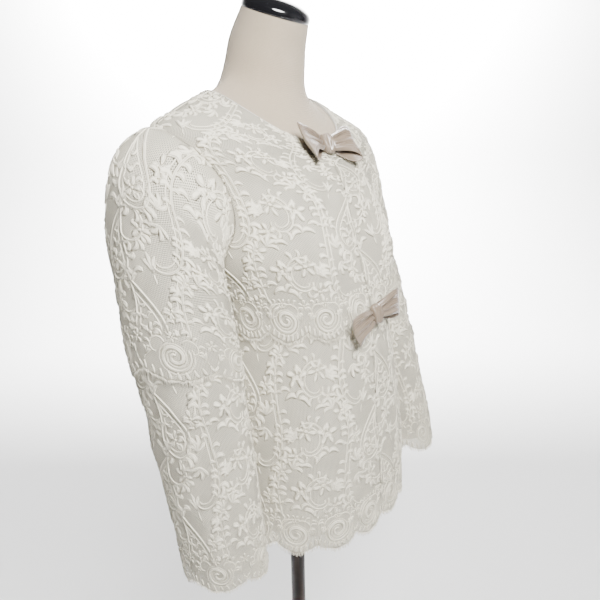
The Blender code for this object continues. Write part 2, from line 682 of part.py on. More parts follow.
def add_turned(name, profile, kind, collection, steps=ROUND_STEPS):
    """Make a turned piece from a profile at +X with a Screw modifier."""
    bm = bmesh.new()
    verts = [bm.verts.new((radius, 0.0, height)) for radius, height in profile]
    for first, second in zip(verts, verts[1:]):
        bm.edges.new((first, second))
    item = new_object(name, bm, kind, collection)
    screw = item.modifiers.new("Turn", "SCREW")
    screw.angle = math.tau
    screw.steps = steps
    screw.render_steps = steps
    screw.use_merge_vertices = True
    screw.merge_threshold = 0.00001
    return item


def add_stand(collection):
    """Make the neck cap, the pole and the base."""
    cap = add_turned("neck_cap", CAP_PROFILE, "black_gloss", collection)
    cap.location = Vector(CAP_CENTRE) + Vector((0, 0, NECK_POINT_HEIGHT))
    cap.rotation_euler = (CAP_LEAN, 0, 0)
    socket = POLE_RADIUS + POLE_SOCKET_GAP
    inside = ((0.0, BASE_SOCKET_FLOOR), (socket, BASE_SOCKET_FLOOR), (socket, BASE_PROFILE[0][1]))
    add_turned("base", inside + BASE_PROFILE, "dark_wood", collection)
    floor = form_ring(FORM_LOWER_ROWS[0])[:, 2].mean()
    low = BASE_SOCKET_FLOOR + POLE_SOCKET_GAP
    high = floor + POLE_SOCKET_DEPTH - POLE_SOCKET_GAP
    bm = bmesh.new()
    bmesh.ops.create_cone(
        bm, cap_ends=True, segments=ROUND_STEPS, radius1=POLE_RADIUS, radius2=POLE_RADIUS, depth=high - low
    )
    pole = new_object("pole", bm, "dark_wood", collection)
    pole.location = (0, 0, (high + low) / 2)


def panel_point(x, z, outward):
    """Return the point on the front at x and z, moved outward."""
    position, level = 0.3, 0.616 + z
    for _ in range(12):
        here = JACKET.point(position, level)
        error = np.array((abs(x) - here[0], z - here[2]))
        d_position = (JACKET.point(position + 0.01, level) - here)[[0, 2]] / 0.01
        d_level = (JACKET.point(position, level + 0.004) - here)[[0, 2]] / 0.004
        step = np.linalg.solve(np.column_stack((d_position, d_level)), error)
        position = min(0.95, max(0.0, position + step[0]))
        level += float(np.clip(step[1], -0.05, 0.05))
    position = max(position, 1e-6)
    point = JACKET.point(position, level) + JACKET.normal(position, level) * outward
    if x < 0:
        point[0] *= -1
    return point + np.array((0, 0, NECK_POINT_HEIGHT))


def bow_point(bow, along, up, outward):
    """Return a point by its place in the bow's own plane, laid on the front."""
    cos, sin = math.cos(bow["tilt"]), math.sin(bow["tilt"])
    return panel_point(along * cos - up * sin, bow["z"] + along * sin + up * cos, outward)


def loop_grid(bow, side):
    """Return a loop's outer points: a ribbon out to its fold and back over itself."""
    start = bow["knot_half_width"] + 0.0006
    grid = []
    for number in range(LOOP_STATIONS + 1):
        turn = math.tau * (0.06 + 0.88 * number / LOOP_STATIONS)
        reach = (1 - math.cos(turn)) / 2
        over = -math.sin(turn)
        line = []
        for column in range(LOOP_WIDTH_STEPS + 1):
            q = 2 * column / LOOP_WIDTH_STEPS - 1
            length = bow["loop_length"] * (1 + 0.12 * q + 0.10 * abs(q))
            half = bow["neck_half"] + (bow["end_half"] - bow["neck_half"]) * reach**0.8
            along = start + length * reach
            lean = 0.006 * reach * over
            crown = 1 - 0.35 * q * q
            middle = bow["seat"] + SATIN_WALL + bow["belly"] * (0.20 + 0.32 * math.sin(math.pi * reach * 0.5))
            height = middle + bow["belly"] * 0.5 * over * crown + LOOP_SPRING * reach**2
            pleat = 0.0012 * math.cos(math.pi * 2.5 * q) * (1 - reach) * max(0.0, over)
            line.append(bow_point(bow, side * along, half * q + lean - LOOP_DROOP * reach, height + pleat))
        grid.append(line)
    grid = np.array(grid)
    return grid[:, ::-1] if side < 0 else grid


def add_bows(collection):
    """Make both bows: two loops and a knot each."""
    for name, values in BOWS.items():
        bow = dict(zip(BOW_COLUMNS, values))
        for side, word in ((-1, "right"), (1, "left")):
            bm = bmesh.new()
            loft_faces(bm, loop_grid(bow, side), False)
            loop = new_object(f"{name}_loop_{word}", bm, "satin", collection)
            wall = loop.modifiers.new("Wall", "SOLIDIFY")
            wall.thickness = SATIN_WALL
            wall.offset = -1.0
        bm = bmesh.new()
        bmesh.ops.create_uvsphere(bm, u_segments=16, v_segments=8, radius=1.0)
        for vert in bm.verts:
            along, up, out = (math.copysign(abs(c) ** 0.72, c) for c in vert.co)
            waist = 1 - 0.22 * (1 - up * up) * (1 - abs(along))
            height = bow["seat"] + bow["knot_height"] * (0.5 + 0.5 * out)
            vert.co = bow_point(
                bow, along * bow["knot_half_width"] * waist, up * bow["knot_half_height"], height
            )
        new_object(f"{name}_knot", bm, "satin", collection)


def main():
    """Build the whole object."""
    clear_scene()
    collection = bpy.data.collections.new(COLLECTION_NAME)
    bpy.context.scene.collection.children.link(collection)
    add_form(collection)
    add_stand(collection)
    add_body_pieces(collection)
    add_sleeves(collection)
    add_bows(collection)


main()
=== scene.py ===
"""Lace jacket with two satin bows on a limbless dress form: the surfaces that show.

The jacket is one body surface and two sleeve surfaces, read from tables of sections. Each cloth
piece is a smooth thin sheet on that surface: net with raised cords, the lining under it, satin
ribbon for the bows. All sizes are metres, +Z is up and the front faces -Y.
"""

import math

import bmesh
import bpy
import numpy as np
from bpy.props import FloatProperty, FloatVectorProperty, PointerProperty
from bpy.types import Operator, Panel, PropertyGroup
from mathutils import Matrix, Vector


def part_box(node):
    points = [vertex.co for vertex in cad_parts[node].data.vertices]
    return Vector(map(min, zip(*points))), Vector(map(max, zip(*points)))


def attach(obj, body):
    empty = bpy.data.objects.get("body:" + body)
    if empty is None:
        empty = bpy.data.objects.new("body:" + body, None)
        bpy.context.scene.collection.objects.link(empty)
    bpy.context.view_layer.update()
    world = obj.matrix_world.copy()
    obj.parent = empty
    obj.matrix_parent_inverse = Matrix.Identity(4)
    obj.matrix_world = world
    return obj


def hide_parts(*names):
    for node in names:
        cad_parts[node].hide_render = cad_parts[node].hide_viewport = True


bl_info = {
    "name": "Lace Jacket on Dress Form",
    "version": (1, 0, 0),
    "blender": (4, 5, 0),
    "location": "View3D > Sidebar > Lace Jacket",
    "description": "Builds a corded lace jacket with satin bows on a dress form and its stand",
    "category": "Add Mesh",
}

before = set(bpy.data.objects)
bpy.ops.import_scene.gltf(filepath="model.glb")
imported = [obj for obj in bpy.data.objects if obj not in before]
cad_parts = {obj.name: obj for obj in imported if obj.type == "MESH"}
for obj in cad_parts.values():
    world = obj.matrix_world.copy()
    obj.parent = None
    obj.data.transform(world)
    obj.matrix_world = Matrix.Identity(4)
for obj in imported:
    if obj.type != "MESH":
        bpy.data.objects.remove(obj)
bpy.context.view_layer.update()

# Heights and walls
NECK_POINT_HEIGHT = 1.135
LINING_WALL = 0.0010
SATIN_WALL = 0.0011
LINING_DEPTH = 0.0024
FORM_DEPTH = 0.0038
TIER_FLARE = 0.0019

# Scalloped edges
SCALLOP_DEPTH = 0.014

# Body columns and rows (levels are metres up the side seam from the hem)
NECKLINE_LEVEL = 0.680
ARMHOLE_LOW = 0.410
ARMHOLE_HIGH = 0.572
ARMHOLE_FRONT = 0.26
ARMHOLE_BACK = 0.25
BODICE_EDGE = 0.298
SKIRT_TOP = 0.333
LINING_EDGE = 0.026

BODY_COLUMNS = ("level", "z_front", "z_side", "z_back", "y_side", "half_width", "y_front", "y_back", "square")
JACKET_SECTIONS = (
    # hem, hip, high hip, waist
    (0.000, -0.618, -0.620, -0.614, -0.024, 0.152, -0.170, 0.118, 2.50),
    (0.110, -0.508, -0.510, -0.505, -0.021, 0.147, -0.162, 0.116, 2.50),
    (0.210, -0.407, -0.408, -0.404, -0.017, 0.142, -0.152, 0.111, 2.30),
    (0.315, -0.299, -0.300, -0.296, -0.012, 0.130, -0.143, 0.106, 2.05),
    # under bust, underarm, chest
    (0.365, -0.250, -0.250, -0.246, -0.003, 0.142, -0.132, 0.110, 2.10),
    (0.410, -0.208, -0.205, -0.200, 0.005, 0.156, -0.120, 0.116, 2.20),
    (0.455, -0.168, -0.160, -0.150, 0.012, 0.163, -0.110, 0.122, 2.12),
    (0.505, -0.128, -0.108, -0.100, 0.026, 0.174, -0.096, 0.126, 2.05),
    # shoulder tip, mid shoulder, neckline
    (0.570, -0.094, -0.050, -0.056, 0.041, 0.195, -0.079, 0.122, 2.00),
    (0.625, -0.080, -0.023, -0.034, 0.049, 0.148, -0.067, 0.112, 2.15),
    (0.680, -0.067, 0.000, -0.018, 0.052, 0.100, -0.058, 0.102, 2.30),
)

# How quickly a ring falls from its sides to its front and back, by level: rounder at the neckline
DIP_LEVELS = (0.570, 0.680, 0.722)
DIP_POWERS = (2.0, 1.3, 1.0)

# The bust: place of its peak across the front, its level, its spread each way and its height
BUST_X = 0.090
BUST_LEVEL = 0.402
BUST_SPREAD_X = 0.046
BUST_SPREAD_LEVEL = 0.055
BUST_HEIGHT = 0.021

# The form's own sections: underside, hip, waist, bust, then shoulders and neck
FORM_SECTIONS = (
    (0.050, -0.566, -0.566, -0.566, -0.016, 0.140, -0.125, 0.090, 2.30),
    (0.110, -0.505, -0.505, -0.505, -0.014, 0.144, -0.130, 0.094, 2.30),
    (0.210, -0.405, -0.405, -0.405, -0.010, 0.136, -0.120, 0.090, 2.25),
    (0.315, -0.298, -0.298, -0.298, -0.004, 0.116, -0.100, 0.080, 2.20),
    (0.410, -0.208, -0.205, -0.200, 0.005, 0.148, -0.114, 0.108, 2.20),
    (0.455, -0.168, -0.160, -0.150, 0.012, 0.159, -0.108, 0.119, 2.12),
    (0.505, -0.128, -0.108, -0.100, 0.026, 0.171, -0.096, 0.126, 2.05),
    (0.570, -0.094, -0.048, -0.054, 0.041, 0.190, -0.079, 0.121, 2.00),
    (0.680, -0.067, 0.000, -0.018, 0.052, 0.100, -0.058, 0.102, 2.30),
    (0.700, -0.050, 0.008, -0.003, 0.052, 0.080, -0.043, 0.096, 2.15),
    (0.722, -0.012, 0.022, 0.034, 0.046, 0.0620, -0.018, 0.095, 2.00),
    (0.755, 0.0370, 0.0570, 0.0760, 0.0345, 0.0545, -0.0160, 0.0860, 2.00),
    (0.805, 0.0807, 0.0972, 0.1137, 0.0187, 0.0470, -0.0248, 0.0622, 2.00),
)
FORM_TIP_DEPTH = 0.0036
FORM_TIP_SPREAD = (0.030, 0.25)
FORM_NECK_LEVEL = 0.722

# Sleeves, wearer's right and left: the left one hangs further back, as shown
SLEEVE_COLUMNS = ("run", "blend", "x_out", "z_out", "x_in", "z_in", "y_out", "y_in", "half_depth",
                  "front_lift")
RIGHT_SLEEVE = (
    (0.000, 0.00, 0.197, -0.050, 0.156, -0.207, 0.041, 0.005, 0.064, 0.000),
    (0.014, 0.35, 0.216, -0.054, 0.165, -0.213, 0.045, 0.005, 0.070, 0.000),
    (0.034, 0.75, 0.241, -0.073, 0.169, -0.224, 0.045, 0.004, 0.077, 0.000),
    (0.062, 1.00, 0.254, -0.101, 0.170, -0.241, 0.034, 0.001, 0.079, 0.002),
    (0.105, 1.00, 0.262, -0.144, 0.169, -0.262, 0.023, 0.000, 0.083, 0.005),
    (0.160, 1.00, 0.270, -0.200, 0.167, -0.288, 0.010, -0.004, 0.084, 0.008),
    (0.220, 1.00, 0.274, -0.262, 0.166, -0.320, 0.000, -0.009, 0.0835, 0.011),
    (0.280, 1.00, 0.274, -0.322, 0.166, -0.352, -0.011, -0.016, 0.079, 0.013),
    (0.350, 1.00, 0.272, -0.394, 0.166, -0.406, -0.026, -0.027, 0.073, 0.012),
    (0.430, 1.00, 0.271, -0.474, 0.167, -0.480, -0.040, -0.042, 0.068, 0.010),
    (0.510, 1.00, 0.269, -0.554, 0.169, -0.558, -0.053, -0.055, 0.064, 0.011),
    (0.570, 1.00, 0.267, -0.605, 0.170, -0.609, -0.060, -0.061, 0.061, 0.013),
)
LEFT_SLEEVE = (
    (0.000, 0.00, 0.197, -0.050, 0.156, -0.207, 0.041, 0.005, 0.064, 0.000),
    (0.014, 0.35, 0.213, -0.055, 0.165, -0.213, 0.042, 0.006, 0.067, 0.000),
    (0.034, 0.75, 0.230, -0.075, 0.169, -0.224, 0.048, 0.013, 0.067, 0.000),
    (0.062, 1.00, 0.243, -0.103, 0.170, -0.241, 0.052, 0.023, 0.069, 0.002),
    (0.105, 1.00, 0.254, -0.146, 0.169, -0.262, 0.053, 0.034, 0.075, 0.005),
    (0.160, 1.00, 0.265, -0.201, 0.167, -0.288, 0.050, 0.041, 0.081, 0.008),
    (0.220, 1.00, 0.273, -0.262, 0.166, -0.320, 0.040, 0.037, 0.084, 0.011),
    (0.280, 1.00, 0.274, -0.322, 0.166, -0.352, 0.022, 0.020, 0.083, 0.013),
    (0.350, 1.00, 0.273, -0.394, 0.166, -0.406, -0.004, -0.004, 0.078, 0.012),
    (0.430, 1.00, 0.271, -0.474, 0.167, -0.480, -0.032, -0.032, 0.073, 0.010),
    (0.510, 1.00, 0.269, -0.556, 0.169, -0.560, -0.061, -0.061, 0.068, 0.009),
    (0.570, 1.00, 0.267, -0.618, 0.170, -0.620, -0.077, -0.077, 0.065, 0.009),
)
UPPER_SLEEVE_END = 0.284
LOWER_SLEEVE_START = 0.250
LOWER_SLEEVE_END = 0.570
SLEEVE_LINING_END = 0.546

# Large soft folds in the lace: from (x, z) to (x, z) on the front or the back, z below the neck point
BODY_FOLDS = (
    # x_from, z_from, x_to, z_to, half_width, height, on_front
    # drag lines that fall from the neck bow
    (-0.012, -0.105, -0.034, -0.235, 0.010, 0.0030, True),
    (0.016, -0.105, 0.046, -0.225, 0.010, 0.0032, True),
    (-0.038, -0.104, -0.080, -0.180, 0.012, 0.0026, True),
    (0.044, -0.102, 0.084, -0.175, 0.012, 0.0026, True),
    # pulls that spread from the waist bow
    (-0.030, -0.285, -0.090, -0.255, 0.010, 0.0026, True),
    (0.030, -0.280, 0.085, -0.245, 0.010, 0.0026, True),
    (-0.028, -0.330, -0.070, -0.470, 0.014, 0.0034, True),
    (0.034, -0.330, 0.060, -0.500, 0.014, 0.0036, True),
    # soft flutes of the skirt
    (-0.100, -0.340, -0.118, -0.600, 0.016, 0.0040, True),
    (0.098, -0.340, 0.114, -0.600, 0.016, 0.0040, True),
    (-0.090, -0.330, -0.102, -0.600, 0.018, 0.0042, False),
    (-0.030, -0.350, -0.036, -0.590, 0.016, 0.0034, False),
    (0.040, -0.340, 0.048, -0.590, 0.017, 0.0038, False),
    (0.094, -0.330, 0.106, -0.600, 0.018, 0.0042, False),
    # slack across the back
    (-0.100, -0.150, -0.055, -0.280, 0.014, 0.0028, False),
    (0.096, -0.155, 0.050, -0.280, 0.014, 0.0028, False),
)
SLEEVE_FOLDS = (
    # turn_from, run_from, turn_to, run_to, half_width, height
    (0.45, 0.075, 1.45, 0.155, 0.013, 0.0034),
    (5.85, 0.080, 5.00, 0.165, 0.013, 0.0032),
    (0.35, 0.330, 1.60, 0.300, 0.012, 0.0034),
    (0.20, 0.395, 1.75, 0.350, 0.013, 0.0038),
    (5.95, 0.400, 4.85, 0.345, 0.013, 0.0032),
    (0.55, 0.440, 0.80, 0.545, 0.014, 0.0030),
)

# Bows: centre height below the neck point, tilt, size
BOW_COLUMNS = ("z", "tilt", "loop_length", "neck_half", "end_half", "belly", "knot_half_width",
               "knot_half_height", "knot_height", "seat")
BOWS = {
    "neck_bow": (-0.072, math.radians(-3), 0.037, 0.010, 0.0185, 0.013, 0.0110, 0.0140, 0.014, 0.0005),
    "waist_bow": (-0.294, math.radians(9), 0.038, 0.010, 0.0190, 0.014, 0.0095, 0.0140, 0.014, 0.0024),
}
LOOP_SPRING = 0.009
LOOP_DROOP = 0.005

# Stand
POLE_RADIUS = 0.0125
POLE_CHAMFER = 0.0012
POLE_SOCKET_GAP = 0.0003
BASE_RADIUS = 0.190
BASE_SOCKET_FLOOR = 0.006
BASE_PROFILE = (
    # radius, height, down the outer side and in under the base
    (0.0225, 0.034), (0.0235, 0.026), (0.060, 0.0185), (0.160, 0.0125), (0.184, 0.0105),
    (BASE_RADIUS, 0.006), (0.188, 0.0), (0.0, 0.0),
)
CAP_CENTRE = (0.0, 0.0187, 0.0972)
CAP_LEAN = math.atan2(0.0165, 0.0435)
CAP_PROFILE = (
    # radius, height above the neck's top, from the dome down the side
    (0.0, 0.0225), (0.017, 0.0215), (0.032, 0.0185), (0.0420, 0.0138), (0.0464, 0.0092),
    (0.0475, 0.0050), (0.0475, 0.0018), (0.0465, 0.0005), (0.0, 0.0005),
)

# The lace's own design
QUARTER_WIDTH = 0.245
SLEEVE_GIRTH = 0.470
TILE_WIDTH = 0.0816
TILE_HEIGHT = 0.106
FIELD_SCALE = 1.48
BODY_TILES = 8
SLEEVE_TILES = 4
FIELD_START = 0.060
SCALLOP_FADE = 0.050
BODY_SCALLOPS = 16
SLEEVE_SCALLOPS = 5
NET_WALL = 0.0005
CORD_SINK = 0.0002
SEAM_SHARE = 0.0001
FRONT_SHARE = 0.00015
SLEEVE_RADIUS = 0.062

# Cells of each sheet, round and up, and the rows that follow a scalloped edge most
NET_CELLS = {"bodice": (56, 84), "skirt": (56, 66), "upper": (100, 70), "lower": (100, 70)}
LINING_CELLS = (40, 70)
EDGE_ROWS = 4

# The ribbon of each loop and the band that shows on each knot: width, length and area of the cut
BOW_CUTS = {
    "neck_bow": ((0.052, 0.100, 0.0036), (0.028, 0.034, 0.00094)),
    "waist_bow": ((0.044, 0.105, 0.0035), (0.028, 0.032, 0.00088)),
}
BOW_WALL = 0.0008
RIBBON_UV = (0.085, 0.038)

# Finer creases of the cloth, in the same columns as the large folds
FINE_BODY_FOLDS = (
    (-0.020, -0.095, -0.060, -0.150, 0.005, 0.0011, True),
    (0.024, -0.095, 0.060, -0.150, 0.005, 0.0011, True),
    (-0.004, -0.110, -0.010, -0.200, 0.005, 0.0010, True),
    (-0.128, -0.150, -0.104, -0.215, 0.006, 0.0014, True),
    (0.130, -0.150, 0.106, -0.215, 0.006, 0.0014, True),
    (-0.026, -0.300, -0.078, -0.300, 0.005, 0.0012, True),
    (0.028, -0.290, 0.084, -0.284, 0.005, 0.0012, True),
    (-0.018, -0.332, -0.030, -0.430, 0.007, 0.0015, True),
    (0.016, -0.332, 0.022, -0.450, 0.007, 0.0015, True),
    (-0.052, -0.330, -0.078, -0.520, 0.009, 0.0016, True),
    (-0.132, -0.120, -0.092, -0.230, 0.007, 0.0015, False),
    (0.130, -0.125, 0.088, -0.235, 0.007, 0.0015, False),
    (-0.060, -0.255, 0.010, -0.270, 0.006, 0.0012, False),
    (0.070, -0.258, 0.020, -0.300, 0.006, 0.0012, False),
)
FINE_SLEEVE_FOLDS = (
    (0.60, 0.022, 0.75, 0.062, 0.0045, 0.0012),
    (0.20, 0.020, 0.22, 0.070, 0.0045, 0.0013),
    (6.05, 0.020, 5.95, 0.068, 0.0045, 0.0012),
    (1.10, 0.170, 1.95, 0.215, 0.006, 0.0014),
    (0.90, 0.290, 1.80, 0.262, 0.005, 0.0014),
    (0.70, 0.430, 1.70, 0.395, 0.006, 0.0016),
    (5.60, 0.455, 4.75, 0.420, 0.006, 0.0014),
    (1.30, 0.480, 1.45, 0.550, 0.007, 0.0014),
)


class Table:
    """Rows with named columns, read smoothly for many keys at once."""

    def __init__(self, columns, rows):
        self.columns = columns
        self.keys = np.array([row[0] for row in rows])
        self.rows = np.array(rows, dtype=float)
        steps = np.diff(self.rows, axis=0) / np.diff(self.keys)[:, None]
        inner = (steps[1:] + steps[:-1]) / 2
        self.slopes = np.vstack((steps[:1], inner, steps[-1:]))

    def read(self, keys):
        """Return the columns at the keys as a dictionary of arrays, straight on past either end."""
        keys = np.asarray(keys, dtype=float)
        i = np.clip(np.searchsorted(self.keys, keys) - 1, 0, len(self.keys) - 2)
        width = self.keys[i + 1] - self.keys[i]
        place = (keys - self.keys[i]) / width
        t = np.clip(place, 0, 1)[..., None]
        values = (
            (2 * t**3 - 3 * t**2 + 1) * self.rows[i]
            + (t**3 - 2 * t**2 + t) * width[..., None] * self.slopes[i]
            + (3 * t**2 - 2 * t**3) * self.rows[i + 1]
            + (t**3 - t**2) * width[..., None] * self.slopes[i + 1]
        )
        under = np.minimum(place, 0)[..., None] * width[..., None] * self.slopes[i]
        past = np.maximum(place - 1, 0)[..., None] * width[..., None] * self.slopes[i + 1]
        values = values + under + past
        return {name: values[..., k] for k, name in enumerate(self.columns)}


def fold_lift(rows, across, along):
    """Return how far the folds of a table lift the cloth at many places."""
    lift = np.zeros(across.shape)
    for across_from, along_from, across_to, along_to, half_width, height in rows:
        start = np.array((across_from, along_from))
        line = np.array((across_to, along_to)) - start
        t = np.clip(((across - start[0]) * line[0] + (along - start[1]) * line[1]) / line.dot(line), 0, 1)
        gap = np.hypot(across - start[0] - line[0] * t, along - start[1] - line[1] * t)
        ends = np.minimum(1.0, np.minimum(4 * t + 0.25, 4 * (1 - t) + 0.25))
        lift = np.maximum(lift, height * ends * np.exp(-((gap / half_width) ** 2)))
    return lift


class Surface:
    """A lattice of points and outward directions, sampled anywhere between its knots."""

    def __init__(self, points, low, high, girth):
        self.points = points
        self.low, self.high, self.girth = low, high, girth
        around = np.roll(points[:, :-1], -1, axis=1) - np.roll(points[:, :-1], 1, axis=1)
        around = np.concatenate((around, around[:, :1]), axis=1)
        along = np.gradient(points, axis=0)
        normals = np.cross(around, along)
        self.normals = normals / np.linalg.norm(normals, axis=2)[:, :, None]
        self.lift = np.zeros(points.shape[:2])

    def turn_out(self, centre):
        """Turn the directions round where they point towards a centre."""
        if ((self.points - centre) * self.normals).sum() < 0:
            self.normals = -self.normals

    def sample(self, values, across, along):
        """Return values of the lattice at fractions across (round) and metres along."""
        rows, columns = self.points.shape[:2]
        u = (np.asarray(across) % 1.0) * (columns - 1)
        v = (np.asarray(along) - self.low) / (self.high - self.low) * (rows - 1)
        v = np.clip(v, 0, rows - 1.0001)
        i, j = np.floor(v).astype(int), np.minimum(np.floor(u).astype(int), columns - 2)
        s, t = v - i, u - j
        if values.ndim == 3:
            s, t = s[..., None], t[..., None]
        low = values[i, j] * (1 - t) + values[i, j + 1] * t
        high = values[i + 1, j] * (1 - t) + values[i + 1, j + 1] * t
        return low * (1 - s) + high * s

    def at(self, across, along, out):
        """Return points at a height over the surface."""
        normal = self.sample(self.normals, across, along)
        normal = normal / np.linalg.norm(normal, axis=-1)[..., None]
        return self.sample(self.points, across, along) + normal * np.asarray(out)[..., None]


def body_rings(sections, levels, columns):
    """Return the rings of a body: fraction 0 and 1 are the centre front, 0.5 the centre back."""
    rows = Table(BODY_COLUMNS, sections).read(levels)
    turn = np.linspace(0.0, math.pi / 2, 97)
    quarters = {}
    for back in (False, True):
        power = (2.0 / rows["square"])[:, None]
        y_end = rows["y_back" if back else "y_front"][:, None]
        z_end = rows["z_back" if back else "z_front"][:, None]
        y_side, z_side = rows["y_side"][:, None], rows["z_side"][:, None]
        half = rows["half_width"][:, None]
        sine = np.clip(np.sin(turn), 0, 1)[None, :]
        cosine = np.clip(np.cos(turn), 0, 1)[None, :]
        x = half * sine**power
        y = y_side + (y_end - y_side) * cosine**power
        dip = np.interp(levels, DIP_LEVELS, DIP_POWERS)[:, None]
        z = z_side + (z_end - z_side) * cosine**dip
        if not back:
            off = ((x - BUST_X) / BUST_SPREAD_X) ** 2
            off = off + ((levels[:, None] - BUST_LEVEL) / BUST_SPREAD_LEVEL) ** 2
            y = y - BUST_HEIGHT * np.exp(-off) * (1 - (x / half) ** 4)
        points = np.stack((x, y, z), axis=2)
        steps = np.linalg.norm(np.diff(points, axis=1), axis=2)
        run = np.concatenate((np.zeros((len(levels), 1)), np.cumsum(steps, axis=1)), axis=1)
        quarters[back] = (run / run[:, -1:], points)
    ring = np.zeros((len(levels), 4 * columns + 1, 3))
    for number in range(len(levels)):
        for back, first, flip, side in (
            (False, 0, False, 1), (True, 1, True, 1), (True, 2, False, -1), (False, 3, True, -1)
        ):
            fractions, points = quarters[back][0][number], quarters[back][1][number]
            part = np.linspace(0, 1, columns + 1)
            part = 1 - part if flip else part
            for axis in range(3):
                values = np.interp(part, fractions, points[:, axis])
                if axis == 0:
                    values = values * side
                ring[number, first * columns : (first + 1) * columns + 1, axis] = values
    ring[:, :, 2] += NECK_POINT_HEIGHT
    return ring


def body_surface(sections, high):
    """Return the surface of a body from its sections."""
    levels = np.linspace(-0.004, high, int(high / 0.002))
    surface = Surface(body_rings(sections, levels, 130), levels[0], levels[-1], 4 * QUARTER_WIDTH)
    surface.turn_out(np.array((0.0, 0.0, 0.85)))
    x, z = surface.points[:, :, 0], surface.points[:, :, 2] - NECK_POINT_HEIGHT
    columns = surface.points.shape[1] - 1
    fraction = np.arange(columns + 1) / columns
    front = (fraction < 0.25) | (fraction > 0.75)
    folds = BODY_FOLDS + FINE_BODY_FOLDS
    on_front = fold_lift([fold[:-1] for fold in folds if fold[-1]], x, z)
    on_back = fold_lift([fold[:-1] for fold in folds if not fold[-1]], x, z)
    surface.lift = np.where(front[None, :], on_front, on_back)
    return surface


def armhole_reach(level, back):
    """Return how far the armhole cuts in from the side line at many levels, in quarters."""
    middle = (ARMHOLE_LOW + ARMHOLE_HIGH) / 2
    half = (ARMHOLE_HIGH - ARMHOLE_LOW) / 2
    part = np.clip(1 - ((np.asarray(level) - middle) / half) ** 2, 0, 1)
    return (ARMHOLE_BACK if back else ARMHOLE_FRONT) * np.sqrt(part)


def sleeve_surface(rows, side, body):
    """Return the surface of a sleeve; across 0 is the top of the arm and 0.25 its front."""
    runs = np.linspace(0.0, 0.572, 300)
    turns = np.linspace(0.0, math.tau, 241)
    row = Table(SLEEVE_COLUMNS, rows).read(runs)
    row = {name: values[:, None] for name, values in row.items()}
    outer = (1 + np.cos(turns)[None, :]) / 2
    forward = np.sin(turns)[None, :]
    x = row["x_in"] + (row["x_out"] - row["x_in"]) * outer
    y = row["y_in"] + (row["y_out"] - row["y_in"]) * outer - row["half_depth"] * forward
    z = row["z_in"] + (row["z_out"] - row["z_in"]) * outer + row["front_lift"] * forward
    ring = np.stack((x, y, z + NECK_POINT_HEIGHT), axis=2)
    middle = (ARMHOLE_LOW + ARMHOLE_HIGH) / 2
    half = (ARMHOLE_HIGH - ARMHOLE_LOW) / 2
    reach = np.where(np.sin(turns) >= 0, ARMHOLE_FRONT, ARMHOLE_BACK)
    position = 1 - reach * np.sin(turns)
    hole = body.sample(body.points, position / 4, middle + half * np.cos(turns))
    blend = np.clip(row["blend"], 0, 1)[:, :, None]
    points = hole[None] * (1 - blend) + ring * blend
    if side < 0:
        points[:, :, 0] *= -1
    surface = Surface(points, runs[0], runs[-1], SLEEVE_GIRTH)
    surface.turn_out(np.array((side * 0.215, 0.0, 0.85)))
    folds = [(turn_from * SLEEVE_RADIUS, run_from, turn_to * SLEEVE_RADIUS, run_to, half_width, height)
             for turn_from, run_from, turn_to, run_to, half_width, height in SLEEVE_FOLDS + FINE_SLEEVE_FOLDS]
    round_arm = np.broadcast_to(turns[None, :] * SLEEVE_RADIUS, x.shape)
    surface.lift = fold_lift(folds, round_arm, np.broadcast_to(runs[:, None], x.shape))
    return surface


def scallop_rise(across, scallops):
    """Return how far a scalloped edge rises at fractions round, up to a point between its lobes."""
    across = np.asarray(across)
    ripple = 0.0011 * (1 - np.sin(math.tau * across * 37 + 1.1) * np.sin(math.tau * across * 11))
    return SCALLOP_DEPTH * 0.92 * (1 - np.abs(np.sin(math.pi * across * scallops))) + ripple


def sleeve_head(across, along):
    """Return how far a sleeve's head swells just past the armhole seam, most at the top of the arm."""
    top = 0.5 + 0.5 * np.cos(math.tau * np.asarray(across))
    return (0.0014 + 0.0022 * top**1.5) * np.exp(-(((along - 0.020) / 0.014) ** 2))


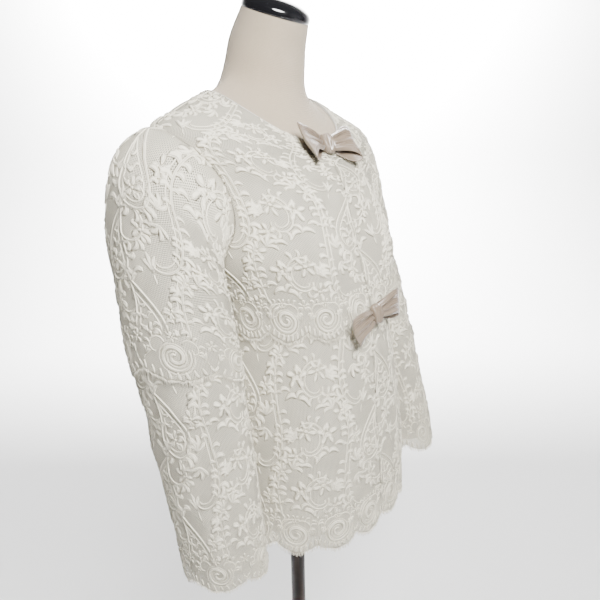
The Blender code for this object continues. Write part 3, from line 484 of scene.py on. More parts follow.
class Piece:
    """One cut piece of lace or lining: where it lies on its surface and how it is edged."""

    def __init__(self, surface, seams, bottom, top, tier=None, scallops=0):
        self.surface, self.bottom, self.top = surface, bottom, top
        self.left, self.right = seams
        self.tier, self.scallops = tier, scallops
        self.depth = LINING_DEPTH if tier is None else 0.0
        self.down = bottom > top

    def along(self, distance):
        """Return the surface's own measure at a distance up from the piece's edge."""
        return self.bottom - distance if self.down else self.bottom + distance

    def distance(self, along):
        """Return the distance up from the piece's straight bottom."""
        return self.bottom - along if self.down else along - self.bottom

    def out(self, across, along):
        """Return how far the piece stands off its surface: folds, and the flare of a free edge."""
        distance = self.distance(along)
        out = np.zeros(np.shape(across)) - self.depth
        if self.left is None:
            out = out + sleeve_head(across, along)
        if self.tier is None:
            return out
        lift = self.surface.sample(self.surface.lift, across, along)
        share = np.ones(np.shape(across))
        if self.tier == "bodice":
            share = np.clip(distance / 0.03, 0, 1)
        if self.tier == "skirt":
            share = np.clip((0.292 - along) / 0.03, 0, 1)
        if self.tier == "upper":
            share = np.clip((along - 0.012) / 0.03, 0, 1) * np.clip(distance / 0.03, 0, 1)
        if self.tier == "bodice":
            share = share * np.clip(self.from_edge(across, along) / 0.02, 0, 1)
        if self.tier == "lower":
            share = np.clip((along - UPPER_SLEEVE_END - 0.006) / 0.03, 0, 1)
        out = out + lift * share
        if self.tier in ("bodice", "upper"):
            out = out + TIER_FLARE * np.clip((0.080 - distance) / 0.040, 0, 1)
        if self.scallops:
            wave = np.sin(math.tau * across * self.scallops * 2 + 0.7) * np.sin(math.tau * across * 7 + 1.3)
            out = out + 0.0011 * wave * np.clip(1 - distance / 0.05, 0, 1)
            out = out + 0.0006 * np.clip(1 - distance / 0.03, 0, 1)
        return out

    def from_edge(self, across, along):
        """Return the distance round to the armhole's edge, large away from the armhole."""
        near = np.full(np.shape(across), 1.0)
        for quarter, back in ((0.25, False), (0.25, True), (0.75, False), (0.75, True)):
            reach = armhole_reach(along, back) / 4
            gap = np.abs(np.abs((np.asarray(across) - quarter + 0.5) % 1.0 - 0.5) - reach)
            near = np.where(reach > 0, np.minimum(near, gap), near)
        return near * self.surface.girth

    def turned(self, across, along):
        """Return how far round places lie from the piece's left edge, and how far its right edge does."""
        left = self.left(along)
        return (np.asarray(across) - left) % 1.0, (self.right(along) - left) % 1.0

    def within(self, across, along):
        """Tell which places lie between the piece's seams."""
        inside = self.distance(along) < self.distance(self.top)
        if self.left is not None:
            turned, span = self.turned(across, along)
            inside &= (turned > 0) & (turned < span)
        return inside

    def clear(self, across, along):
        """Tell which places keep clear of the scalloped edge and of what the tier above hides."""
        low = scallop_rise(across, self.scallops)
        inside = self.distance(along) > low + 0.0006
        if self.tier == "skirt":
            inside &= along < BODICE_EDGE + scallop_rise(across, BODY_SCALLOPS) + 0.003
        if self.tier == "lower":
            inside &= along > UPPER_SLEEVE_END - scallop_rise(across, SLEEVE_SCALLOPS) - 0.003
        return inside

    def fitted(self, across, along):
        """Return places moved back onto the piece where they pass its seams."""
        top = self.distance(self.top) - 0.0001
        along = self.along(np.minimum(self.distance(along), top))
        if self.left is not None:
            turned, span = self.turned(across, along)
            turned = np.where(turned > (1 + span) / 2, 0.0, turned)
            across = self.left(along) + np.clip(turned, 0.0001, span - 0.0001)
        return across, along


def new_piece(name, bm, material):
    """Turn a bmesh into a smooth object that rides on the body."""
    mesh = bpy.data.meshes.new(name)
    bm.to_mesh(mesh)
    bm.free()
    return finish_piece(name, mesh, material)


def finish_piece(name, mesh, material):
    """Link a mesh as a piece of the object."""
    mesh.shade_smooth()
    mesh.materials.append(material)
    item = bpy.data.objects.new(name, mesh)
    bpy.context.scene.collection.objects.link(item)
    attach(item, "root")
    return item


def mapped_grid(across_cells, along_cells, place, closed=False):
    """Return a grid of unit squares whose vertices are moved by a function of their fractions."""
    bm = bmesh.new()
    bmesh.ops.create_grid(bm, x_segments=across_cells, y_segments=along_cells, size=0.5)
    uv_layer = bm.loops.layers.uv.new("UVMap")
    flat = np.array([vert.co for vert in bm.verts]) + 0.5
    points, uv = place(flat[:, 0], flat[:, 1])
    for vert, point in zip(bm.verts, points):
        vert.co = point
    bm.verts.index_update()
    for face in bm.faces:
        for loop in face.loops:
            loop[uv_layer].uv = uv[loop.vert.index]
    if closed:
        bmesh.ops.remove_doubles(bm, verts=bm.verts, dist=0.00002)
    return bm


def measured_cut(points, area, scalloped):
    """Return the widest row, the longest column and the area of a sheet's lattice of points."""
    rows = np.linalg.norm(np.diff(points, axis=1), axis=2).sum(axis=1)
    columns = np.linalg.norm(np.diff(points, axis=0), axis=2).sum(axis=0)
    widest = rows[EDGE_ROWS if scalloped else 0:].max()
    return round(float(widest), 3), round(float(columns.max()), 3), round(area, 3)


def sheet_out(bm, surface_centre):
    """Turn a sheet's faces outward from a centre."""
    away = 0.0
    for face in bm.faces:
        away += (face.calc_center_median() - surface_centre).dot(face.normal) * face.calc_area()
    if away < 0:
        bmesh.ops.reverse_faces(bm, faces=bm.faces)


def make_sheet(piece, name, cells, material, wall):
    """Make a piece's cloth, a fine sheet given a wall by Solidify, and return it with its cut."""

    def place(s, t):
        top = piece.distance(piece.top)
        distance = t * top
        if piece.left is None:
            across = s
        else:
            left = piece.left(piece.along(distance))
            right = piece.right(piece.along(distance))
            across = left + ((right - left) % 1.0) * s
        if piece.scallops:
            rise = scallop_rise(across, piece.scallops)
            distance = distance + rise * np.clip(1 - distance / SCALLOP_FADE, 0, 1)
        along = piece.along(distance)
        points = piece.surface.at(across, along, piece.out(across, along))
        uv = np.column_stack((across * piece.surface.girth, along))
        return points, uv

    bm = mapped_grid(cells[0], cells[1], place, piece.left is None)
    bm.normal_update()
    made = np.array([vert.co for vert in bm.verts])
    middle = (made[:, 0].min() + made[:, 0].max()) / 2 if piece.left is None else 0.0
    sheet_out(bm, Vector((middle, 0.0, made[:, 2].mean())))
    s, t = np.meshgrid(np.linspace(0, 1, cells[0] + 1), np.linspace(0, 1, cells[1] + 1))
    lattice = place(s.ravel(), t.ravel())[0].reshape(*s.shape, 3)
    cut = measured_cut(lattice, sum(face.calc_area() for face in bm.faces), piece.scallops)
    item = new_piece(name, bm, material)
    add_wall(item, wall, -1.0)
    return item, cut


def add_wall(item, thickness, offset):
    """Give a sheet its wall."""
    wall = item.modifiers.new("Wall", "SOLIDIFY")
    wall.thickness = thickness
    wall.offset = offset


class Stroke:
    """A raised cord of the lace: its line in the flat cloth, its widths and its height."""

    def __init__(self, line, width, height):
        self.line, self.width, self.height = line, width, height


def walked(x, y, headings, length):
    """Return the line that starts at a place and follows headings over a length."""
    step = length / (len(headings) - 1)
    dx = np.concatenate(([0.0], np.cumsum(np.cos(headings[:-1]) * step)))
    dy = np.concatenate(([0.0], np.cumsum(np.sin(headings[:-1]) * step)))
    return np.column_stack((x + dx, y + dy))


def spiral(x, y, radius, turns, start, hand, width, height=0.0010):
    """A round scroll that winds out from its centre."""
    count = max(8, int(turns * 20))
    t = np.linspace(0, 1, count)
    angle = start + hand * math.tau * turns * t
    reach = radius * (0.10 + 0.90 * t)
    line = np.column_stack((x + reach * np.cos(angle), y + reach * np.sin(angle)))
    return Stroke(line, width * (0.5 + 0.6 * np.sin(math.pi * np.clip(t * 0.92 + 0.06, 0, 1))), height)


def leaf(x, y, angle, length, width, curl=0.25, height=0.0009):
    """A pointed leaf or petal."""
    count = max(5, int(length / 0.003))
    t = np.linspace(0, 1, count)
    line = walked(x, y, angle + curl * (t - 0.5), length)
    return Stroke(line, width * np.clip(np.sin(math.pi * t), 0.08, 1) ** 0.8, height)


def hook(x, y, angle, length, curl, width, height=0.0013):
    """A lobe that grows from a narrow root to a round head."""
    count = max(7, int(length / 0.0016))
    t = np.linspace(0, 1, count)
    line = walked(x, y, angle + curl * t**1.4, length)
    swell = 0.34 + 0.66 * np.sin(math.pi / 2 * np.clip(t / 0.62, 0, 1))
    close = np.sqrt(np.clip(1 - (np.maximum(t - 0.62, 0) / 0.385) ** 2, 0.05, 1))
    return Stroke(line, width * swell * close, height)


def scroll(x, y, angle, length, first, last, width, height=0.0012):
    """A stem that winds up tighter towards both ends, about its middle."""
    count = max(16, int(length / 0.0030))
    t = np.linspace(0, 1, count)
    heading = angle + first * np.log((t + 0.07) / 0.57) - last * np.log((1.07 - t) / 0.57)
    line = walked(0.0, 0.0, heading, length)
    line = line - line[count // 2] + np.array((x, y))
    return Stroke(line, width * (0.8 + 0.25 * np.sin(math.pi * t)), height)


def beside(stroke, gap, width):
    """A second cord that runs beside a stroke."""
    along = np.gradient(stroke.line, axis=0)
    along /= np.linalg.norm(along, axis=1)[:, None]
    aside = np.column_stack((-along[:, 1], along[:, 0])) * gap
    return Stroke(stroke.line + aside, np.full(len(along), width), 0.0009)


def lobes(stroke, start, stop, count, side, size, curl=2.7):
    """Round lobes that sprout along one side of a stroke, largest in the middle of their run."""
    made = []
    for k in range(count):
        part = start + (stop - start) * (k + 0.5) / count
        i = int(part * (len(stroke.line) - 1))
        dx, dy = stroke.line[min(i + 1, len(stroke.line) - 1)] - stroke.line[max(i - 1, 0)]
        heading = math.atan2(dy, dx) + side * 0.75
        long = size * (0.74 + 0.36 * math.sin(math.pi * (k + 0.5) / count))
        x, y = stroke.line[i] + 0.0008 * np.array((math.cos(heading), math.sin(heading)))
        made.append(hook(x, y, heading, long, side * curl, long * 0.54))
    return made


def spray(x, y, angle, size, count, hand):
    """A fan of lobes from one place."""
    made = []
    for k in range(count):
        turn = 2.3 * ((k + 0.5) / count - 0.5)
        long = size * (1 - 0.3 * abs(turn))
        made.append(hook(x, y, angle + turn, long, hand * 1.3 + turn * 0.8, long * 0.40))
    return made


def paisley(x, y, angle, size, hand):
    """A drop with a curled point: a double outline, a row of lobes inside and one outside."""
    t = np.linspace(0.05, math.tau - 0.05, 30)
    along = size * 0.5 * np.cos(t)
    across = size * 0.40 * np.sin(t) * np.abs(np.sin(t / 2)) ** 1.1
    across = across + hand * 1.35 * np.maximum(along + 0.1 * size, 0) ** 2 / size
    cos, sin = math.cos(angle), math.sin(angle)

    def turned(a, b):
        return np.column_stack((x + a * cos - b * sin, y + a * sin + b * cos))

    outline = Stroke(turned(along, across), np.full(30, 0.0030), 0.0014)
    inner = Stroke(turned(along * 0.72 - 0.04 * size, across * 0.68), np.full(30, 0.0017), 0.0009)
    made = [outline, inner] + lobes(outline, 0.22, 0.82, 9, -1, size * 0.22)
    made += lobes(inner, 0.10, 0.42, 4, 1, size * 0.15) + lobes(inner, 0.58, 0.90, 4, 1, size * 0.15)
    return made + flower(*turned(-0.20 * size, 0.0)[0], size * 0.17, 5, angle)


def flower(x, y, radius, petals, start):
    """An open flower of round petals with a raised heart."""
    made = []
    for k in range(petals):
        angle = start + math.tau * k / petals
        reach = 0.22 * radius
        made.append(hook(x + reach * math.cos(angle), y + reach * math.sin(angle), angle, 0.78 * radius, 0.35,
                         3.0 * radius / petals))
    made.append(leaf(x - 0.24 * radius, y, 0.0, 0.48 * radius, 0.46 * radius, 0.0, 0.0017))
    return made


def tulip(x, y, angle, size):
    """Three petals that open from a short stem."""
    made = [leaf(x, y, angle + turn, size * long, size * 0.40, turn * 1.3, 0.0011)
            for turn, long in ((-0.62, 0.95), (0.0, 1.05), (0.62, 0.95))]
    made.append(leaf(x, y, angle + math.pi, size * 0.6, size * 0.15, 0.4))
    return made


def field_tile():
    """Return the strokes of one repeat of the lace's field, about its centre."""
    main = scroll(0.008, -0.002, 1.75, 0.150, 1.75, -1.70, 0.0032)
    made = [main, beside(main, 0.0044, 0.0019)]
    made += lobes(main, 0.12, 0.50, 7, -1, 0.0112) + lobes(main, 0.52, 0.88, 7, 1, 0.0112)
    made += lobes(main, 0.58, 0.84, 5, -1, 0.0088) + lobes(main, 0.16, 0.42, 5, 1, 0.0088)
    made += paisley(-0.024, 0.008, 1.35, 0.050, 1)
    made += spray(-0.006, -0.010, 1.4, 0.016, 4, 1) + spray(-0.006, -0.022, -1.6, 0.015, 4, -1)
    made += spray(0.020, 0.048, 1.2, 0.015, 4, -1) + flower(-0.005, 0.018, 0.0075, 5, 0.6)
    made += spray(0.024, -0.030, 2.2, 0.014, 4, 1) + spray(-0.040, 0.034, 1.6, 0.014, 3, 1)
    second = scroll(0.031, 0.022, 1.55, 0.070, -1.25, -1.15, 0.0028)
    made += [second, beside(second, -0.0038, 0.0017)] + lobes(second, 0.10, 0.90, 7, 1, 0.0094)
    third = scroll(-0.024, -0.036, 0.90, 0.060, 1.2, 1.1, 0.0026)
    made += [third] + lobes(third, 0.12, 0.88, 6, -1, 0.0090)
    made += flower(0.027, 0.026, 0.0108, 5, 0.3) + flower(-0.024, -0.032, 0.0098, 5, 1.2)
    made += flower(0.034, -0.022, 0.0104, 6, 0.8) + flower(0.010, 0.044, 0.0092, 5, 0.1)
    made += flower(0.024, -0.046, 0.0088, 5, 0.5)
    made += tulip(0.014, -0.030, 0.6, 0.0150) + tulip(-0.016, 0.044, 1.9, 0.0150)
    made += tulip(-0.038, -0.014, 1.4, 0.0135)
    for x, y, angle, length, curl, width in (
        (-0.004, 0.030, 0.4, 0.014, 2.2, 0.0060), (0.016, 0.006, 0.9, 0.014, -2.2, 0.0060),
        (0.038, 0.002, 1.9, 0.013, 2.2, 0.0056), (-0.008, -0.016, 2.9, 0.013, -2.2, 0.0056),
        (-0.036, 0.040, 1.0, 0.013, -2.0, 0.0056), (0.006, -0.050, 0.2, 0.014, 2.2, 0.0058),
        (-0.034, -0.048, 0.4, 0.013, 2.1, 0.0056), (0.038, 0.050, 2.4, 0.013, 2.1, 0.0056),
        (-0.004, 0.012, 2.2, 0.012, 2.0, 0.0052), (0.020, 0.014, 2.6, 0.012, 2.2, 0.0052),
    ):
        made.append(hook(x, y, angle, length, curl, width))
    return made


def border_unit(width, hand):
    """Return the strokes of one lobe of a scalloped edge, about its middle, heights from the edge."""
    made = [spiral(0.0, 0.031, 0.0205, 1.9, 1.2, hand, 0.0062, 0.0016)]
    made.append(beside(spiral(0.0, 0.031, 0.0205, 1.9, 1.2, hand, 0.0050), hand * -0.0046, 0.0020))
    for k in range(9):
        part = (k + 0.5) / 9
        edge = SCALLOP_DEPTH * (1 - math.sin(math.pi * part))
        lean = (0.5 - part) * 1.1
        angle = -math.pi / 2 - lean * 0.6
        made.append(hook((part - 0.5) * width, edge + 0.0125, angle, 0.0105, hand * 0.9, 0.0060))
    for side in (-1, 1):
        made += tulip(side * width * 0.41, 0.031, math.pi / 2 + side * 0.5, 0.0130)
        arm = scroll(side * width * 0.27, 0.052, math.pi / 2 + side * 0.9, 0.040, side, side, 0.0026)
        made += [arm] + lobes(arm, 0.15, 0.8, 4, -side, 0.0090)
    made += flower(width * 0.5, 0.052, 0.0088, 5, 0.2) + flower(0.0, 0.056, 0.0070, 5, 0.9)
    return made


def edge_cord(piece, distance, width, height):
    """Return a cord that follows the whole scalloped edge of a piece."""
    count = int(piece.surface.girth / 0.003)
    across = np.linspace(0, 1, count + 1)
    rise = scallop_rise(across, piece.scallops)
    return across, rise + distance, np.full(count + 1, width), height


def strokes_of(piece):
    """Return every cord of a piece as places on its surface: middle, left and right lines."""
    girth = piece.surface.girth
    top = piece.distance(piece.top)
    tiles = BODY_TILES if piece.tier in ("bodice", "skirt") else SLEEVE_TILES
    tile_width = girth / tiles
    tile = field_tile()
    found = []
    height = TILE_HEIGHT * FIELD_SCALE
    rows = int((top - FIELD_START) / height) + 2
    for column in range(tiles):
        flip = -1 if column % 2 else 1
        for row in range(rows):
            x0 = (column + 0.5) * tile_width
            y0 = FIELD_START + (row + 0.5 * (column % 2)) * height
            for stroke in tile:
                stretch = np.array((flip * tile_width / TILE_WIDTH, FIELD_SCALE))
                line = stroke.line * stretch + np.array((x0, y0))
                found.append((line, stroke.width * FIELD_SCALE, stroke.height * 1.2, FIELD_START - 0.004))
    width = girth / piece.scallops
    for lobe in range(piece.scallops):
        for stroke in border_unit(width, -1 if lobe % 2 else 1):
            line = stroke.line + np.array(((lobe + 0.5) * width, 0.0))
            found.append((line, stroke.width, stroke.height, 0.0))
    across, distance, widths, height = edge_cord(piece, 0.0016, 0.0020, 0.0009)
    found.append((np.column_stack((across * girth, distance)), widths, height, 0.0))
    return found


def cord_mesh(piece, name):
    """Build the raised cords of a piece as closed strips with a rounded back."""
    girth = piece.surface.girth
    points, faces, uvs, halves = [], [], [], []
    base = 0
    for line, widths, height, least in strokes_of(piece):
        along = np.gradient(line, axis=0)
        along /= np.maximum(np.linalg.norm(along, axis=1), 1e-9)[:, None]
        aside = np.column_stack((-along[:, 1], along[:, 0])) * widths[:, None] / 2
        flat = [line + aside, line, line - aside]
        across = np.array([part[:, 0] / girth for part in flat])
        up = np.array([piece.along(part[:, 1]) for part in flat])
        inside = piece.within(across[1], up[1])
        inside = inside | np.roll(inside, 1) & (np.arange(len(inside)) > 0) | np.append(inside[1:], False)
        good = inside & piece.clear(across, up).all(axis=0) & (line[:, 1] > least)
        across, up = piece.fitted(across, up)
        run = np.concatenate(([0.0], np.cumsum(np.linalg.norm(np.diff(line, axis=0), axis=1))))
        starts = np.flatnonzero(good & ~np.concatenate(([False], good[:-1])))
        ends = np.flatnonzero(good & ~np.concatenate((good[1:], [False])))
        for first, last in zip(starts, ends):
            if last - first < 2:
                continue
            part = slice(first, last + 1)
            count = last - first + 1
            out = piece.out(across[1, part], up[1, part])
            taper = np.minimum(1.0, widths[part] / 0.0030)
            low = piece.surface.at(across[0, part], up[0, part], out - CORD_SINK)
            crest = piece.surface.at(across[1, part], up[1, part], out + height * taper)
            high = piece.surface.at(across[2, part], up[2, part], out - CORD_SINK)
            points.append(np.stack((low, crest, high), axis=1).reshape(-1, 3))
            number = np.arange(count - 1)[:, None] * 3 + base
            side = np.array((0, 1, 2))
            nearer = (side + 1) % 3
            corners = (number + side, number + nearer, number + 3 + nearer, number + 3 + side)
            quads = np.stack(corners, axis=2)
            faces += quads.reshape(-1, 4).tolist()
            final = base + (count - 1) * 3
            faces += [(base + 2, base + 1, base), (final, final + 1, final + 2)]
            lines = [np.column_stack((run[part], widths[part] * aside)) for aside in (-0.5, 0.0, 0.5)]
            uvs.append(np.stack(lines, axis=1).reshape(-1, 2))
            halves.append(np.repeat(widths[part] / 2, 3))
            base += count * 3
    points, uvs, halves = np.concatenate(points), np.concatenate(uvs), np.concatenate(halves)
    mesh = bpy.data.meshes.new(name)
    mesh.from_pydata(points, [], faces)
    mesh.attributes.new("cord_half", "FLOAT", "POINT").data.foreach_set("value", halves.astype(np.float32))
    layer = mesh.uv_layers.new(name="UVMap")
    corners = np.zeros(len(mesh.loops), dtype=np.int32)
    mesh.loops.foreach_get("vertex_index", corners)
    layer.data.foreach_set("uv", uvs[corners].astype(np.float32).ravel())
    return mesh


class Wire:
    """A shader socket whose Python operators add Math nodes."""

    def __init__(self, paint, socket):
        self.paint, self.socket = paint, socket

    def _math(self, operation, *values):
        return self.paint.add("ShaderNodeMath", {"operation": operation}, values)["Value"]

    def __add__(self, other):
        return self._math("ADD", self, other)

    def __sub__(self, other):
        return self._math("SUBTRACT", self, other)

    def __mul__(self, other):
        return self._math("MULTIPLY", self, other)

    def __rsub__(self, other):
        return self._math("SUBTRACT", other, self)

    __radd__ = __add__
    __rmul__ = __mul__

    def sine(self):
        return self._math("SINE", self)

    def absolute(self):
        return self._math("ABSOLUTE", self)

    def larger(self, other):
        return self._math("MAXIMUM", self, other)

    def smooth(self, low, high, to_low=0.0, to_high=1.0):
        names = {"Value": self, "From Min": low, "From Max": high, "To Min": to_low, "To Max": to_high}
        return self.paint.add("ShaderNodeMapRange", {"interpolation_type": "SMOOTHSTEP"}, names)["Result"]


class Paint:
    """One node material with a Principled shader."""

    def __init__(self, name, **sockets):
        self.material = bpy.data.materials.new(name)
        self.material.use_nodes = True
        self.tree = self.material.node_tree
        self.shader = self.tree.nodes["Principled BSDF"]
        for socket, value in sockets.items():
            self.shader.inputs[socket.replace("_", " ")].default_value = value

    def add(self, kind, settings=None, inputs=()):
        """Add a node: its settings first, then its sockets' values or links; returns its outputs."""
        node = self.tree.nodes.new(kind)
        for key, value in (settings or {}).items():
            setattr(node, key, value)
        pairs = inputs.items() if isinstance(inputs, dict) else enumerate(inputs)
        for key, value in pairs:
            socket = node.inputs[key]
            if isinstance(value, Wire):
                self.tree.links.new(value.socket, socket)
            else:
                socket.default_value = value
        return {out.name: Wire(self, out) for out in node.outputs if out.enabled}

    def colour_mix(self, share, first, second):
        """Mix two colours by a share."""
        first, second = (colour if isinstance(colour, Wire) else (*colour, 1.0) for colour in (first, second))
        return self.add("ShaderNodeMix", {"data_type": "RGBA"}, {0: share, 6: first, 7: second})["Result"]

    def noise(self, vector, scale, detail=3.0, roughness=0.5):
        """Return the value of a noise texture."""
        return self.add("ShaderNodeTexNoise", {}, {"Vector": vector, "Scale": scale, "Detail": detail,
                                                   "Roughness": roughness})["Fac"]

    def place(self, kind="Object"):
        """Return texture coordinates of a kind."""
        return self.add("ShaderNodeTexCoord")[kind]

    def scaled(self, vector, scale):
        """Return coordinates stretched each way."""
        inputs = {"Vector": vector, "Scale": scale}
        return self.add("ShaderNodeMapping", {"vector_type": "POINT"}, inputs)["Vector"]

    def split(self, vector):
        """Return the parts of a vector."""
        parts = self.add("ShaderNodeSeparateXYZ", {}, (vector,))
        return parts["X"], parts["Y"], parts["Z"]

    def bump(self, height, depth, strength=1.0, under=None):
        """Return a normal raised by a height whose unit stands for a depth in metres."""
        inputs = {"Height": height, "Distance": depth, "Strength": strength}
        if under is not None:
            inputs["Normal"] = under
        return self.add("ShaderNodeBump", {}, inputs)["Normal"]

    def feed(self, socket, wire):
        """Link a wire into a socket of the shader."""
        self.tree.links.new(wire.socket, self.shader.inputs[socket])


def toned(colour, factor):
    """Return a colour made lighter or darker by a factor."""
    return tuple(min(1.0, part * factor) for part in colour)


def net_material(settings):
    """Fine hexagonal net, open between its threads, over the lining."""
    paint = Paint("lace_net", Roughness=0.85, Specular_IOR_Level=0.25)
    across, along, _ = paint.split(paint.place("UV"))
    turn = math.tau / settings.net_cell
    one = (across * turn).sine()
    two = ((across * 0.5 + along * 0.866) * turn).sine()
    three = ((across * -0.5 + along * 0.866) * turn).sine()
    mesh = one + two + three
    hole = mesh.smooth(0.55, 0.95)
    paint.feed("Alpha", 1.0 - hole * settings.net_openness)
    shade = paint.noise(paint.place("Object"), 28.0, 4.0)
    cream = tuple(settings.lace_colour)
    dark = toned(cream, 0.86)
    paint.feed("Base Color", paint.colour_mix(shade.smooth(0.35, 0.7), dark, cream))
    paint.feed("Normal", paint.bump(mesh, 0.0004))
    return paint.material


def cord_material(settings):
    """Cotton cords: a thick ribbed outline round each shape and flat woven cloth inside it, with thin lines
    of painted shade along each cord's edge and just inside its outline.
    """
    paint = Paint("lace_cord", Roughness=0.80, Specular_IOR_Level=0.3)
    run, width, _ = paint.split(paint.place("UV"))
    half = paint.add("ShaderNodeAttribute", {"attribute_name": "cord_half"})["Fac"]
    spot = paint.place("Object")
    inside = half - width.absolute()
    rim = inside.smooth(0.00120, 0.00200, 1.0, 0.0)
    # painted shade: a thin dark line just inside each raised outline, where its relief would cast shade
    inner_shade_line = (inside - 0.00210).absolute().smooth(0.0, 0.00060, 1.0, 0.0)
    grain = paint.noise(spot, 900.0, 3.0, 0.6)
    ribs = (run * (math.tau / 0.0013) + width * 900.0).sine()
    weave = (run * (math.tau / 0.0008)).sine() * (width * (math.tau / 0.0008)).sine()
    cloud = paint.noise(spot, 22.0, 3.0)
    cream = tuple(settings.lace_colour)
    light = toned(cream, 1.12)
    flat = paint.colour_mix(weave.smooth(-0.6, 0.4), toned(cream, 0.86), cream)
    body = paint.colour_mix(rim, flat, paint.colour_mix(cloud.smooth(0.35, 0.65), cream, light))
    # painted shade along the very edge of each cord; both lines of painted shade are then darkened into the
    # colour
    edge_shade_line = inside.smooth(0.00015, 0.00070, 1.0, 0.0)
    body = paint.colour_mix(inner_shade_line.larger(edge_shade_line) * 0.80, body, toned(cream, 0.46))
    body = paint.colour_mix(grain.smooth(0.35, 0.65) * 0.12, body, toned(cream, 0.76))
    paint.feed("Base Color", body)
    height = rim * 1.6 + ribs * rim * 0.35 + weave * 0.15 + grain * 0.5
    paint.feed("Normal", paint.bump(height, 0.00035))
    return paint.material


def fringe_material(settings):
    """Loose thread ends, a little lighter than the cords."""
    paint = Paint("lace_fringe", Roughness=0.85, Sheen_Weight=0.3)
    shade = paint.noise(paint.place("Object"), 260.0, 2.0)
    cream = tuple(settings.lace_colour)
    paint.feed("Base Color", paint.colour_mix(shade, toned(cream, 0.86), toned(cream, 1.06)))
    return paint.material


def lining_material(settings):
    """Smooth lining with a soft sheen and a fine weave."""
    paint = Paint("lining_cloth", Specular_IOR_Level=0.4)
    across, along, _ = paint.split(paint.place("UV"))
    spot = paint.place("Object")
    weave = (across * (math.tau / 0.0009)).sine() * (along * (math.tau / 0.0009)).sine()
    cloud = paint.noise(paint.scaled(spot, (1.0, 1.0, 0.35)), 16.0, 3.0)
    base = tuple(settings.lining_colour)
    paint.feed("Base Color", paint.colour_mix(cloud.smooth(0.3, 0.7), toned(base, 0.92), base))
    paint.feed("Roughness", cloud.smooth(0.2, 0.8, 0.42, 0.60))
    paint.feed("Normal", paint.bump(weave, 0.00006, 0.6))
    return paint.material


def satin_material(settings):
    """Ribbon satin: fine cross ribs, long soft streaks and a bright sheen."""
    paint = Paint("bow_satin", Sheen_Weight=0.20, Sheen_Roughness=0.3, Specular_IOR_Level=1.0)
    uv = paint.place("UV")
    run, _, _ = paint.split(uv)
    streaks = paint.noise(paint.scaled(uv, (24.0, 520.0, 1.0)), 1.0, 3.0)
    ribs = (run * (math.tau / 0.0006)).sine()
    cloud = paint.noise(paint.place("Object"), 70.0, 2.0)
    base = tuple(settings.satin_colour)
    tint = paint.colour_mix(streaks.smooth(0.3, 0.7), toned(base, 0.86), toned(base, 1.08))
    paint.feed("Base Color", paint.colour_mix(cloud.smooth(0.45, 0.75) * 0.35, tint, toned(base, 1.14)))
    paint.feed("Roughness", streaks.smooth(0.25, 0.75, 0.24, 0.40))
    paint.feed("Normal", paint.bump(ribs * 0.35 + streaks, 0.00008))
    return paint.material


def linen_material(settings):
    """Natural linen: crossed uneven threads with thick slubs."""
    paint = Paint("form_linen", Sheen_Weight=0.2, Sheen_Roughness=0.6)
    uv = paint.place("UV")
    across, along, _ = paint.split(uv)
    warp = (across * (math.tau / 0.0014)).sine()
    weft = (along * (math.tau / 0.0015)).sine()
    slub_one = paint.noise(paint.scaled(uv, (900.0, 40.0, 1.0)), 1.0, 2.0)
    slub_two = paint.noise(paint.scaled(uv, (40.0, 900.0, 1.0)), 1.0, 2.0)
    thread = (warp * slub_one).larger(weft * slub_two)
    cloud = paint.noise(paint.place("Object"), 9.0, 4.0)
    base = tuple(settings.linen_colour)
    tint = paint.colour_mix(thread.smooth(-0.1, 0.6), toned(base, 0.80), toned(base, 1.08))
    slubs = (slub_one + slub_two).smooth(1.05, 1.35) * 0.4
    tint = paint.colour_mix(slubs, tint, toned(base, 1.18))
    paint.feed("Base Color", paint.colour_mix(cloud.smooth(0.4, 0.75) * 0.3, tint, toned(base, 0.84)))
    paint.feed("Roughness", thread.smooth(0.0, 1.0, 0.95, 0.80))
    paint.feed("Normal", paint.bump(thread, 0.00030))
    return paint.material


def cap_material():
    """Deep glossy black with faint polishing marks."""
    paint = Paint("cap_black", Base_Color=(0.004, 0.004, 0.005, 1.0), Coat_Weight=0.6, Coat_Roughness=0.05,
                  Specular_IOR_Level=0.6)
    haze = paint.noise(paint.place("Object"), 60.0, 5.0)
    paint.feed("Roughness", haze.smooth(0.3, 0.8, 0.06, 0.20))
    paint.feed("Normal", paint.bump(haze, 0.00006, 0.4))
    return paint.material


def wood_material():
    """Dark stained wood under varnish, its grain along the pole."""
    paint = Paint("stand_wood", Specular_IOR_Level=0.16)
    spot = paint.scaled(paint.place("Object"), (60.0, 60.0, 5.0))
    grain = paint.noise(spot, 1.6, 6.0, 0.65)
    fine = paint.noise(paint.scaled(paint.place("Object"), (700.0, 700.0, 18.0)), 1.0, 3.0)
    tint = paint.colour_mix(grain.smooth(0.35, 0.68), (0.0035, 0.0016, 0.0011), (0.017, 0.0075, 0.0042))
    paint.feed("Base Color", paint.colour_mix(fine.smooth(0.5, 0.7) * 0.5, tint, (0.0025, 0.0013, 0.0010)))
    paint.feed("Roughness", grain.smooth(0.3, 0.7, 0.34, 0.48))
    paint.feed("Normal", paint.bump(fine + grain, 0.00012))
    return paint.material


def stage_material(name, colour):
    """Plain pale studio paper."""
    paint = Paint(name, Roughness=0.9, Specular_IOR_Level=0.1)
    shade = paint.noise(paint.place("Object"), 3.0, 2.0)
    paint.feed("Base Color", paint.colour_mix(shade, toned(colour, 0.985), colour))
    return paint.material


